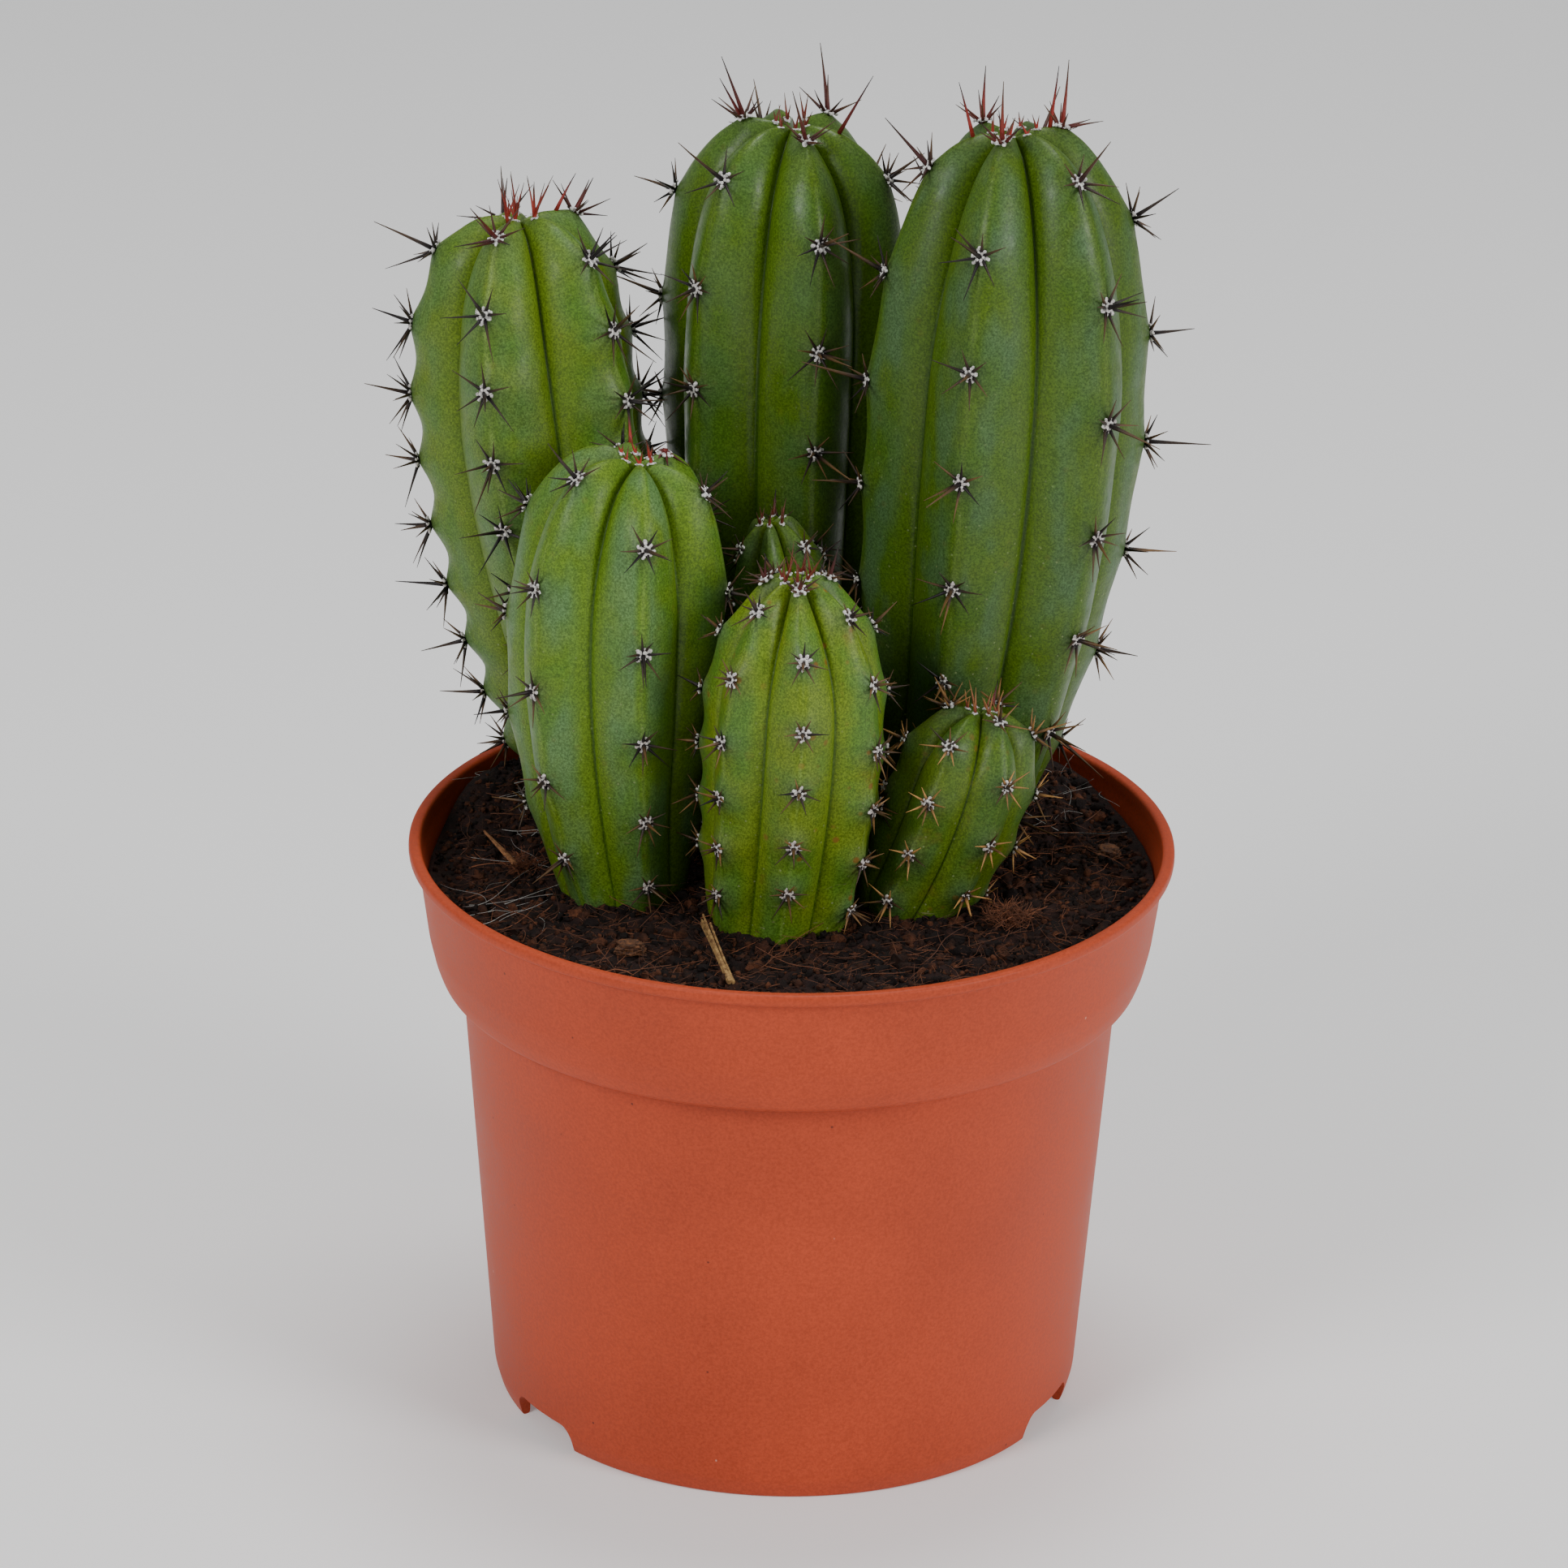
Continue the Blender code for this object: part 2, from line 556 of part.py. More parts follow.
def make_lump(name, place, radii, parts, finish):
    """A flat rounded lump, such as a chip of bark or a tuft of coir, lying on the soil."""
    x, y, heading = place
    bm = bmesh.new()
    bmesh.ops.create_icosphere(bm, subdivisions=1, radius=1.0)
    bmesh.ops.scale(bm, vec=radii, verts=bm.verts)
    ground = soil_height(x, y)
    for side_x, side_y in ((1.0, 0.0), (0.0, 1.0), (-1.0, 0.0), (0.0, -1.0)):
        ground = max(ground, soil_height(x + radii[0] * side_x, y + radii[0] * side_y))
    lifted = Matrix.Translation((x, y, ground + radii[2] + LOOSE_LIFT * 0.5))
    bmesh.ops.transform(bm, matrix=lifted @ Matrix.Rotation(math.radians(heading), 4, "Z"), verts=bm.verts)
    return object_from_bmesh(name, bm, parts, finish)


def make_loose_pieces(parts):
    straw = material("dry_straw", STRAW_COLOUR, 0.7)
    twig = material("dry_twig", TWIG_COLOUR, 0.75)
    coir = material("coir", COIR_COLOUR, 0.95)
    bark = material("bark", BARK_COLOUR, 0.9)
    make_stalk("straw_stalk", STRAW_PLACE, STRAW_LENGTH, STRAW_RADIUS, STRAW_RISE, parts, straw)
    make_stalk("dry_twig", TWIG_PLACE, TWIG_LENGTH, TWIG_RADIUS, TWIG_RISE, parts, twig)
    make_lump("coir_tuft", COIR_PLACE, COIR_RADII, parts, coir)
    make_lump("bark_chip_front", BARK_FRONT_PLACE, BARK_RADII, parts, bark)
    make_lump("bark_chip_right", BARK_RIGHT_PLACE, BARK_RADII, parts, bark)


def main():
    remove_all_objects()
    parts = collection(COLLECTION_NAME)
    cutters = collection(CUTTER_COLLECTION_NAME)
    make_pot(parts, cutters)
    make_soil(parts, cutters)
    skin = material("cactus_skin", STEM_COLOUR, 0.45)
    for stem in STEMS:
        make_stem(stem, parts, cutters, skin)
    make_loose_pieces(parts)


main()
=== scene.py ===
"""Looks for a clump of ribbed column cacti in a grower's pot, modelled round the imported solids.

Laid out as an add-on and run as a script. Everything is in metres, in the frame of the solids,
apart from the table of stems, whose lengths are in millimetres.
"""

import math
import random
from dataclasses import dataclass

import bmesh
import bpy
import numpy as np
from bpy.props import FloatProperty, FloatVectorProperty, IntProperty, PointerProperty
from mathutils import Matrix, Vector, noise
from mathutils.bvhtree import BVHTree


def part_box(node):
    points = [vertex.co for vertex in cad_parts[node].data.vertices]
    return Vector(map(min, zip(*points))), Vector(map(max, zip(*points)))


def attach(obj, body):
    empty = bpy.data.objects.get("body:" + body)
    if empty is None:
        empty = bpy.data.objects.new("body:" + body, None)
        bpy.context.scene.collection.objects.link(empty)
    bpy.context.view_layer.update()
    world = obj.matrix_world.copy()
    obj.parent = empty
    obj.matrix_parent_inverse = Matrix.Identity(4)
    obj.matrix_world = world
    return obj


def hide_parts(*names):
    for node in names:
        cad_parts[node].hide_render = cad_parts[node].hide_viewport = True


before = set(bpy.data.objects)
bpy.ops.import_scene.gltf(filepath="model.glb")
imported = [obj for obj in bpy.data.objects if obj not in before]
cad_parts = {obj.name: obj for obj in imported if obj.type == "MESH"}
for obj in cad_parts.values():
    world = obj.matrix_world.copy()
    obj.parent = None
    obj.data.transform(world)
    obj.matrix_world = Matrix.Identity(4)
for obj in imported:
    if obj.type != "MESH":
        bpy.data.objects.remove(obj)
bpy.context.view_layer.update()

bl_info = {
    "name": "Potted tall cactus",
    "version": (1, 0, 0),
    "blender": (4, 5, 0),
    "location": "View3D > Sidebar > Cactus",
    "description": "Models the skin, areoles, spines, peat and pot of a potted clump of column cacti",
    "category": "Object",
}

POT_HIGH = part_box("pot")[1]
SOIL_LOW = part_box("soil")[0]
MM = 0.001
BODY = "root"
SEED = 20

# Pot
WALL_THICKNESS = 1.3 * MM
FLOOR_UNDERSIDE = 5.2 * MM
FLOOR_TOP = FLOOR_UNDERSIDE + WALL_THICKNESS
INNER_STEP = 71.4 * MM
INNER_BEND = 74.8 * MM
FLOOR_RADIUS = 45.4 * MM  # radii of the inner wall at the floor, the step, the bend and the mouth
STEP_RADIUS = 50.4 * MM
BEND_RADIUS = 54.7 * MM
MOUTH_RADIUS = 58.1 * MM
FOOT_RADIUS = 45.9 * MM
RIM_WALL = 1.9 * MM
LIP_DEPTH = 1.8 * MM
EDGE_RADIUS = 0.7 * MM
NOTCH_AZIMUTHS_DEG = (-55.0, 65.0, 185.0)
NOTCH_SIZE = (15.0 * MM, 12.0 * MM, 8.8 * MM)  # the half of its height under the ground is unused
NOTCH_CORNER = 2.4 * MM
DRAIN_REACH = 34.0 * MM
DRAIN_RADIUS = 4.0 * MM

# Soil: centre x, centre y, height over the level, spread
SOIL_LEVEL = 86.4 * MM
SOIL_MOUNDS = (
    (-34.0 * MM, 36.0 * MM, 3.6 * MM, 15.0 * MM),
    (38.0 * MM, 33.0 * MM, 4.2 * MM, 16.0 * MM),
    (44.0 * MM, -14.0 * MM, 1.2 * MM, 12.0 * MM),
    (-44.0 * MM, -8.0 * MM, -1.2 * MM, 14.0 * MM),
    (8.0 * MM, -40.0 * MM, 0.8 * MM, 10.0 * MM),
    (-49.0 * MM, 24.0 * MM, 4.2 * MM, 10.5 * MM),
)
KNOT_PLACE = (-42.5 * MM, 0.5 * MM)
KNOT_RADII = (2.6 * MM, 3.0 * MM, 1.3 * MM)
SOIL_EDGE = 57.0 * MM
CRUMB_EDGE = 56.4 * MM
STRAND_EDGE = 54.0 * MM
HAIR_PATCHES = ((-46.0 * MM, -14.0 * MM), (43.0 * MM, 20.0 * MM), (-44.0 * MM, 12.0 * MM))

# Stems
STEM_BASE_LEVEL = 87.0 * MM
BURIED_LENGTH = 15.0 * MM
BURIED_LEAN = 0.3
ROOT_TAPER_START = 0.75
CREST_ROUNDING = 0.010
CROWN_REACH = 0.5  # of the largest radius
FLAT_FLANK_EXTRA = 0.075  # groove depth past that of flat-sided ribs, over the crest radius
CROWN_GROOVE_EXTRA = 0.13  # more of it in the crown

# Colours that go with the chosen ones
HALO_COLOUR = (0.064, 0.112, 0.060)
YOUNG_SKIN = (0.105, 0.180, 0.016)
FLECK_COLOUR = (0.26, 0.31, 0.13)
CORK_COLOUR = (0.25, 0.23, 0.10)
OLD_FELT = (0.42, 0.30, 0.24)
ROOT_HAIR = (0.52, 0.50, 0.47)
SPECK_COLOUR = (0.075, 0.020, 0.014)
NICK_COLOUR = (0.70, 0.42, 0.33)

# Stage
WORLD_LIGHT = 0.34
FLOOR_GLOW = 0.20
FLOOR_REACH = 6.0
LIGHT_AIM = (0.0, 0.0, 0.11)
LIGHTS = (  # name, place, size, share of the key power
    ("left", (-0.68, -0.74, 0.80), 0.45, 0.50),
    ("right", (0.92, -0.62, 0.58), 0.45, 0.55),
    ("top", (0.05, 0.25, 1.25), 0.55, 0.48),
)
CAMERA_AIM = (-1.34 * MM, 0.0, 101.3 * MM)
SENSOR_WIDTH = 36.0


@dataclass(frozen=True)
class Stem:
    """One stem. The first eleven values place its solid; the rest say how its skin and spines look."""

    name: str
    base: tuple  # x, y of the axis at the soil
    apex: tuple  # x, y, z of the crown
    bow: tuple  # x, y by which the axis bulges between them
    radius: float  # of the rib crests at the widest place
    widest: float  # height of that place, as a fraction of the stem
    base_ratio: float  # crest radius at the base, over the largest
    shoulder: tuple  # exponents of the crown's rise and of its narrowing
    ribs: int
    first_rib_deg: float
    twist_deg: float
    areole_start: tuple  # distance of the first areole from the apex, on each rib
    areole_pitch: tuple  # spacing of the areoles at the crown and at the base
    scallop: tuple  # how far the crest swells at an areole, at the crown and at the base
    spines: tuple  # length of the radial spines, of the central one, share that is tan
    young_spines: tuple  # length and redness of the spines of the infant areoles round the apex
    crown_spines: tuple  # rib, height fraction, length and lean outwards of the tallest ones
    tint: tuple  # yellowness, painted shade darkening a stem that others shade, bloom, rust, pale crest line
    gloss: float  # roughness of the skin


STEMS = (
    Stem("stem_left", (-27.6, 31.2), (-43.8, 32.4, 184.2), (-3.2, -2.0), 18.4, 0.63, 0.54, (2.6, 2.6),
         5, -19.5, 0.0, (10.2, 15.7, 10.0, 13.0, 15.3), (12.3, 7.8), (0.35, 0.75), (6.9, 9.8, 0.12),
         (7.0, 0.75), ((0, 0.995, 6.0, 25), (2, 0.99, 6.5, 30)), (0.28, 0.20, 0.32, 0.06, 0.60), 0.44),
    Stem("stem_back", (-1.5, 36.4), (-1.7, 37.0, 198.6), (-1.0, 1.5), 19.4, 0.70, 0.59, (3.1, 2.1),
         6, 16.0, 0.0, (8.0, 18.5, 8.4, 17.5, 7.6, 16.9), (17.8, 15.0), (0.12, 0.25), (5.6, 10.4, 0.22),
         (4.2, 0.35), ((1, 0.985, 11.0, 28), (4, 0.985, 7.0, 30)), (0.0, 0.60, 0.25, 0.05, 0.30), 0.33),
    Stem("stem_right", (23.6, 17.8), (32.4, 15.2, 205.0), (3.6, -2.0), 21.9, 0.60, 0.40, (2.35, 2.4),
         6, -18.0, 0.0, (7.1, 15.9, 7.4, 15.5, 7.0, 15.1), (18.8, 15.5), (0.15, 0.30), (5.8, 10.8, 0.20),
         (3.4, 0.8), ((2, 0.994, 9.5, 8), (5, 0.990, 9.0, 14)), (0.0, 0.85, 0.60, 0.05, 0.28), 0.41),
    Stem("stem_front_left", (-26.2, -5.6), (-24.2, -3.2, 157.2), (-2.8, 0.2), 17.2, 0.62, 0.36, (2.4, 2.9),
         6, 23.0, -13.0, (19.8, 12.2, 5.0, 13.0, 4.6, 12.2), (17.8, 11.5), (0.15, 0.25), (4.6, 8.0, 0.15),
         (3.2, 0.9), ((3, 0.985, 5.0, 25),), (0.10, 0.0, 0.55, 0.08, 0.30), 0.45),
    Stem("stem_front", (-2.1, -15.8), (0.0, -18.6, 144.4), (1.2, 0.0), 14.6, 0.52, 0.61, (2.45, 1.65),
         7, 2.0, 4.0, (4.6, 11.2, 5.6, 10.4, 7.5, 5.0, 9.3), (11.6, 7.4), (0.15, 0.30), (3.6, 5.2, 0.25),
         (4.8, 0.35), ((3, 0.985, 4.0, 20),), (0.48, 0.0, 0.08, 0.55, 0.35), 0.42),
    Stem("stem_front_right", (18.3, -9.8), (29.0, -11.0, 119.4), (1.4, -0.9), 10.9, 0.54, 0.64, (2.8, 2.2),
         6, -27.5, 0.0, (10.9, 5.1, 9.0, 5.4, 9.6, 5.0), (9.8, 8.0), (0.15, 0.30), (4.3, 6.2, 0.85),
         (4.2, 0.35), ((3, 0.985, 4.0, 25),), (0.35, 0.65, 0.15, 0.35, 0.30), 0.42),
    Stem("stem_middle", (-1.4, 9.6), (-4.0, 8.6, 142.6), (1.4, 1.0), 8.4, 0.64, 0.70, (2.4, 2.1),
         6, -7.0, 0.0, (3.6, 7.4, 3.4, 7.0, 3.8, 7.2), (8.6, 7.5), (0.10, 0.20), (3.0, 4.2, 0.20),
         (3.2, 0.25), ((3, 0.985, 4.0, 25),), (0.20, 0.45, 0.25, 0.10, 0.30), 0.42),
)


# ---- settings


def colour_property(name, description, default):
    return FloatVectorProperty(name=name, description=description, subtype="COLOR", size=3,
                               min=0.0, max=1.0, default=default)


def length_property(name, description, default):
    return FloatProperty(name=name, description=description, unit="LENGTH", min=0.0, precision=5,
                         default=default)


def angle_property(name, description, degrees):
    return FloatProperty(name=name, description=description, subtype="ANGLE", default=math.radians(degrees))


class CACTUS_PG_pot(bpy.types.PropertyGroup):
    """Sizes and colour of the pot."""

    height: length_property("Height", "Height of the rim over the ground", POT_HIGH.z)
    rim_radius: length_property("Rim radius", "Outer radius of the rim", POT_HIGH.x)
    plastic: colour_property("Plastic", "Colour of the moulded plastic", (0.405, 0.056, 0.020))
    stain: colour_property("Stain", "Colour of the damp inner wall", (0.085, 0.030, 0.021))
    segments: IntProperty(name="Segments", description="Steps round the pot", default=224, min=32)


class CACTUS_PG_soil(bpy.types.PropertyGroup):
    """Surface and colours of the peat."""

    peat: colour_property("Peat", "Colour of the damp peat", (0.0130, 0.0050, 0.0038))
    fibre: colour_property("Fibre", "Colour of the coir and root fibres", (0.16, 0.052, 0.020))
    crumbs: IntProperty(name="Crumbs", description="Number of loose crumbs", default=7600, min=0)
    fibres: IntProperty(name="Fibres", description="Number of short fibres", default=2400, min=0)


class CACTUS_PG_stem(bpy.types.PropertyGroup):
    """Colours of the stems."""

    skin: colour_property("Skin", "Colour of a rib's flank", (0.074, 0.164, 0.015))
    bloom: colour_property("Bloom", "Waxy blue-green cast of the skin", (0.088, 0.182, 0.086))
    crest: colour_property("Crest", "Pale line along a rib's crest", (0.190, 0.290, 0.060))
    # The groove colour is painted shade: a dark line standing in for the shade in the grooves' V.
    groove: colour_property("Groove", "Dark line in the grooves", (0.018, 0.060, 0.004))
    rust: colour_property("Rust", "Colour of the rusty spots", (0.200, 0.085, 0.014))


class CACTUS_PG_spine(bpy.types.PropertyGroup):
    """Sizes and colours of the areoles and spines."""

    radius: length_property("Radius", "Radius of a spine at its foot", 0.34 * MM)
    pad: length_property("Pad", "Radius of an areole's felt", 1.32 * MM)
    dark: colour_property("Dark", "Colour of most spines", (0.009, 0.006, 0.007))
    tan: colour_property("Tan", "Colour of the older spines", (0.520, 0.270, 0.085))
    blush: colour_property("Blush", "Colour of the young spines' feet", (0.420, 0.040, 0.028))
    felt: colour_property("Felt", "Colour of the felt", (0.860, 0.835, 0.805))


class CACTUS_PG_stage(bpy.types.PropertyGroup):
    """Floor, light and camera."""

    floor: colour_property("Floor", "Colour of the floor", (0.82, 0.82, 0.82))
    key_power: FloatProperty(name="Key power", description="Shared out to the lamps, in watts", default=14.0,
                             min=0.0)
    distance: length_property("Distance", "Distance from the camera to the aim point", 1.1)
    elevation: angle_property("Elevation", "Angle of the camera over the level", 22.95)
    roll: angle_property("Roll", "Turn of the camera about its line of sight", 0.84)
    lens: FloatProperty(name="Lens", description="Focal length in millimetres", default=161.67, min=1.0)


class CACTUS_PG_settings(bpy.types.PropertyGroup):
    """All the settings of the potted cactus."""

    pot: PointerProperty(type=CACTUS_PG_pot)
    soil: PointerProperty(type=CACTUS_PG_soil)
    stem: PointerProperty(type=CACTUS_PG_stem)
    spine: PointerProperty(type=CACTUS_PG_spine)
    stage: PointerProperty(type=CACTUS_PG_stage)


# ---- meshes


def mesh_of(name, bm):
    mesh = bpy.data.meshes.new(name)
    bm.to_mesh(mesh)
    bm.free()
    return mesh


def placed(name, data):
    """An object at the origin, in the scene."""
    made = bpy.data.objects.new(name, data)
    bpy.context.scene.collection.objects.link(made)
    return made


def finished(name, bm, finish, replaces=(), smooth_angle=None):
    """An object at the origin from a bmesh, with its finish, riding on the one body."""
    mesh = mesh_of(name, bm)
    made = placed(name, mesh)
    mesh.materials.append(finish)
    mesh.shade_smooth()
    if smooth_angle is not None:
        mesh.set_sharp_from_angle(angle=math.radians(smooth_angle))
    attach(made, BODY)
    if replaces:
        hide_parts(*replaces)
    return made


def store(mesh, name, values):
    """Keeps one number for each point of the mesh, for its material to read."""
    numbers = np.asarray(values, np.float32).ravel()
    mesh.attributes.new(name, "FLOAT", "POINT").data.foreach_set("value", numbers)


def points_of(mesh):
    found = np.empty(len(mesh.vertices) * 3, np.float64)
    mesh.vertices.foreach_get("co", found)
    return found.reshape(-1, 3)


def thread_template(sides, rings):
    """A closed tube of radius 1 from z = 0 to z = 1, cut into rings so that it can be bent."""
    bm = bmesh.new()
    bmesh.ops.create_cone(bm, cap_ends=True, segments=sides, radius1=1.0, radius2=1.0, depth=1.0,
                          matrix=Matrix.Translation((0.0, 0.0, 0.5)))
    for index in range(1, rings):
        everything = list(bm.verts) + list(bm.edges) + list(bm.faces)
        level = (0.0, 0.0, index / rings)
        bmesh.ops.bisect_plane(bm, geom=everything, plane_co=level, plane_no=(0.0, 0.0, 1.0))
    return mesh_of("thread", bm)


def crumb_template(subdivisions):
    bm = bmesh.new()
    bmesh.ops.create_icosphere(bm, subdivisions=subdivisions, radius=1.0)
    return mesh_of("crumb", bm)


def slab_template(cuts):
    bm = bmesh.new()
    bmesh.ops.create_cube(bm, size=2.0)
    bmesh.ops.subdivide_edges(bm, edges=list(bm.edges), cuts=cuts, use_grid_fill=True)
    return mesh_of("slab", bm)


class Gathering:
    """Copies of one small template, each bent or stretched into its own place, as one bmesh."""

    def __init__(self, template):
        self.template = template
        self.rest = points_of(template)
        self.bm = bmesh.new()
        self.values = {}

    def add(self, points, **values):
        self.template.vertices.foreach_set("co", points.ravel())
        self.bm.from_mesh(self.template)
        for name, value in values.items():
            spread = value if isinstance(value, np.ndarray) else np.full(len(points), value)
            self.values.setdefault(name, []).append(spread)

    def add_thread(self, foot, along, aside, length, radii, bend=0.0, wave=0.0, **values):
        """A thread from foot along one way, bending aside or waving, between two radii."""
        along = along / np.linalg.norm(along)
        aside = aside - along * aside.dot(along)
        aside = aside / max(np.linalg.norm(aside), 1e-9)
        third = np.cross(along, aside)
        x, y, z = self.rest.T
        radius = radii[1] + (radii[0] - radii[1]) * (1.0 - z) ** 1.2
        centre = foot + np.outer(z * length, along) + np.outer(bend * length * z * z, aside)
        centre = centre + np.outer(wave * length * np.sin(2.0 * math.pi * z), aside)
        self.add(centre + np.outer(x * radius, aside) + np.outer(y * radius, third), along=z, **values)

    def finish(self, name, finish, slot, replaces=(), smooth_angle=None):
        bmesh.ops.recalc_face_normals(self.bm, faces=self.bm.faces)
        made = finished(name, self.bm, finish, replaces, smooth_angle)
        for key, parts in self.values.items():
            store(made.data, key, np.concatenate(parts))
        bpy.data.meshes.remove(self.template)
        return made


def unit(vector):
    return vector / max(np.linalg.norm(vector), 1e-12)


# ---- stem shape


def flank_drop(across, straightness):
    """From 0 on a rib's crest to about 1 in the groove: straight flanks, or convex ones that dive into it."""
    across = np.abs(across)
    straight = np.sqrt(across * across + CREST_ROUNDING) - math.sqrt(CREST_ROUNDING)
    crease = 0.12 * np.exp(-((1.0 - across) / 0.07) ** 2)
    return straightness * straight + (1.0 - straightness) * across ** 3 + crease


def smooth_step(low, high, value):
    part = np.clip((value - low) / (high - low), 0.0, 1.0)
    return part * part * (3.0 - 2.0 * part)


@dataclass(frozen=True)
class Areole:
    """One areole: its place, the directions there, its share of the way to the soil, its radial spines."""

    foot: np.ndarray
    normal: np.ndarray
    down: np.ndarray
    side: np.ndarray
    share: float
    infant: bool
    angles: tuple

    def flat(self, angle):
        """A direction in the skin, from the way up the crest round towards its side."""
        return self.side * math.sin(angle) - self.down * math.cos(angle)


class StemShape:
    """Finds any place on one stem's skin from its distance below the apex and its turn, counted in ribs."""

    samples = 260

    def __init__(self, stem):
        self.stem = stem
        self.random = random.Random(SEED + STEMS.index(stem))
        self.base = np.array((*stem.base, 0.0)) * MM + np.array((0.0, 0.0, STEM_BASE_LEVEL))
        self.apex = np.array(stem.apex) * MM
        self.bow = np.array((*stem.bow, 0.0)) * MM * 4.0
        self.length = np.linalg.norm(self.apex - self.base)
        self.trace_crest()
        self.place_areoles()
        self.rib_swell = np.array([self.random.uniform(-0.3, 0.3) * MM for _ in range(stem.ribs)])
        self.phases = [self.random.uniform(0.0, 2.0 * math.pi) for _ in range(8)]
        self.areoles = self.find_areoles()

    def trace_crest(self):
        """Samples of the crest line from the apex down to the buried end."""
        stem = self.stem
        start = -BURIED_LENGTH / self.length
        angle = np.linspace(0.5 * math.pi, 0.0, self.samples)
        rise, narrowing = stem.shoulder
        dome = stem.widest + (1.0 - stem.widest) * np.sin(angle) ** (2.0 / rise)
        dome_radius = stem.radius * MM * np.maximum(np.cos(angle), 0.0) ** (2.0 / narrowing)
        side = np.linspace(stem.widest, start * ROOT_TAPER_START, self.samples)[1:]
        swell = np.sin(0.5 * math.pi * (side - start) / (stem.widest - start))
        side_radius = stem.radius * MM * (stem.base_ratio + (1.0 - stem.base_ratio) * swell)
        root = np.linspace(0.0, 1.0, 12)[1:]
        root_fraction = side[-1] + (start - side[-1]) * root
        root_radius = side_radius[-1] * np.sqrt(np.maximum(1.0 - root ** 2, 0.0))
        self.fraction = np.concatenate([dome, side, root_fraction])
        self.radius = np.concatenate([dome_radius, side_radius, root_radius])
        steps = np.hypot(np.diff(self.fraction) * self.length, np.diff(self.radius))
        self.arc = np.concatenate([[0.0], np.cumsum(steps)])
        climb = np.gradient(self.fraction * self.length, self.arc)
        widen = np.gradient(self.radius, self.arc)
        size = np.hypot(climb, widen)
        self.slope_out = -climb / size
        self.slope_up = widen / size
        self.soil_arc = float(np.interp(0.0, -self.fraction, self.arc))

    def place_areoles(self):
        """A list of distances below the apex for each rib, closer together lower down."""
        stem = self.stem
        self.areole_arcs = []
        for first in stem.areole_start:
            place = first * MM
            found = []
            while place < self.soil_arc - 1.5 * MM:
                found.append(place)
                share = place / self.soil_arc
                pitch = stem.areole_pitch[0] + (stem.areole_pitch[1] - stem.areole_pitch[0]) * share
                place += pitch * MM * self.random.uniform(0.97, 1.03)
            self.areole_arcs.append(np.array(found))

    def axis(self, fraction):
        fraction = np.asarray(fraction)[..., None]
        grown = self.base + (self.apex - self.base) * fraction + self.bow * fraction * (1.0 - fraction)
        lean = self.apex - self.base + self.bow
        lean = np.array((lean[0] * BURIED_LEAN, lean[1] * BURIED_LEAN, lean[2]))
        return np.where(fraction < 0.0, self.base + lean * fraction, grown)

    def directions(self, fraction):
        """Up along the axis there, and two directions across it."""
        fraction = np.asarray(fraction)[..., None]
        up = self.apex - self.base + self.bow * (1.0 - 2.0 * np.maximum(fraction, 0.0))
        up = up / np.linalg.norm(up, axis=-1, keepdims=True)
        right = np.array((1.0, 0.0, 0.0)) - up * up[..., :1]
        right = right / np.linalg.norm(right, axis=-1, keepdims=True)
        return up, right, np.cross(up, right)

    def nearest_areole(self, arc, rib):
        """Distance along the crest to the rib's nearest areole, and the spacing there."""
        gap = np.full(len(arc), 1.0)
        pitch = np.full(len(arc), 10.0 * MM)
        for index, places in enumerate(self.areole_arcs):
            mine = rib == index
            if not mine.any() or len(places) < 2:
                continue
            away = np.abs(arc[mine][:, None] - places[None, :])
            closest = away.argmin(axis=1)
            gap[mine] = away[np.arange(len(closest)), closest]
            pitch[mine] = np.gradient(places)[closest]
        return gap, pitch

    def swelling(self, arc, turn, radius):
        """How far the skin stands out: scalloped crests, a low mound under each areole, slow unevenness."""
        stem = self.stem
        across = np.abs(turn - np.round(turn)) * 2.0
        rib = np.round(turn).astype(int) % stem.ribs
        gap, pitch = self.nearest_areole(arc, rib)
        share = np.clip(arc / self.soil_arc, 0.0, 1.0)
        depth = (stem.scallop[0] + (stem.scallop[1] - stem.scallop[0]) * share) * MM
        fade = smooth_step(2.0 * MM, 9.0 * MM, arc) * (1.0 - across) ** 1.3
        wave = np.cos(2.0 * math.pi * np.minimum(gap / pitch, 0.5))
        sideways = across * math.pi * radius / stem.ribs
        mound = 0.32 * MM * np.exp(-(gap ** 2 + sideways ** 2) / (1.7 * MM) ** 2)
        p = self.phases
        slow = np.sin(arc / (11.0 * MM) + p[0] + turn * 2.1) * np.sin(turn * 3.7 + p[1])
        slow = slow + 0.6 * np.sin(arc / (5.2 * MM) + p[2] + turn * 5.3)
        uneven = slow * 0.14 * MM * np.minimum(radius / (8.0 * MM), 1.0) * (1.0 - 0.5 * across)
        own = self.rib_swell[rib] * (1.0 - across) * np.minimum(radius / (12.0 * MM), 1.0)
        return depth * wave * fade + mound + uneven + own

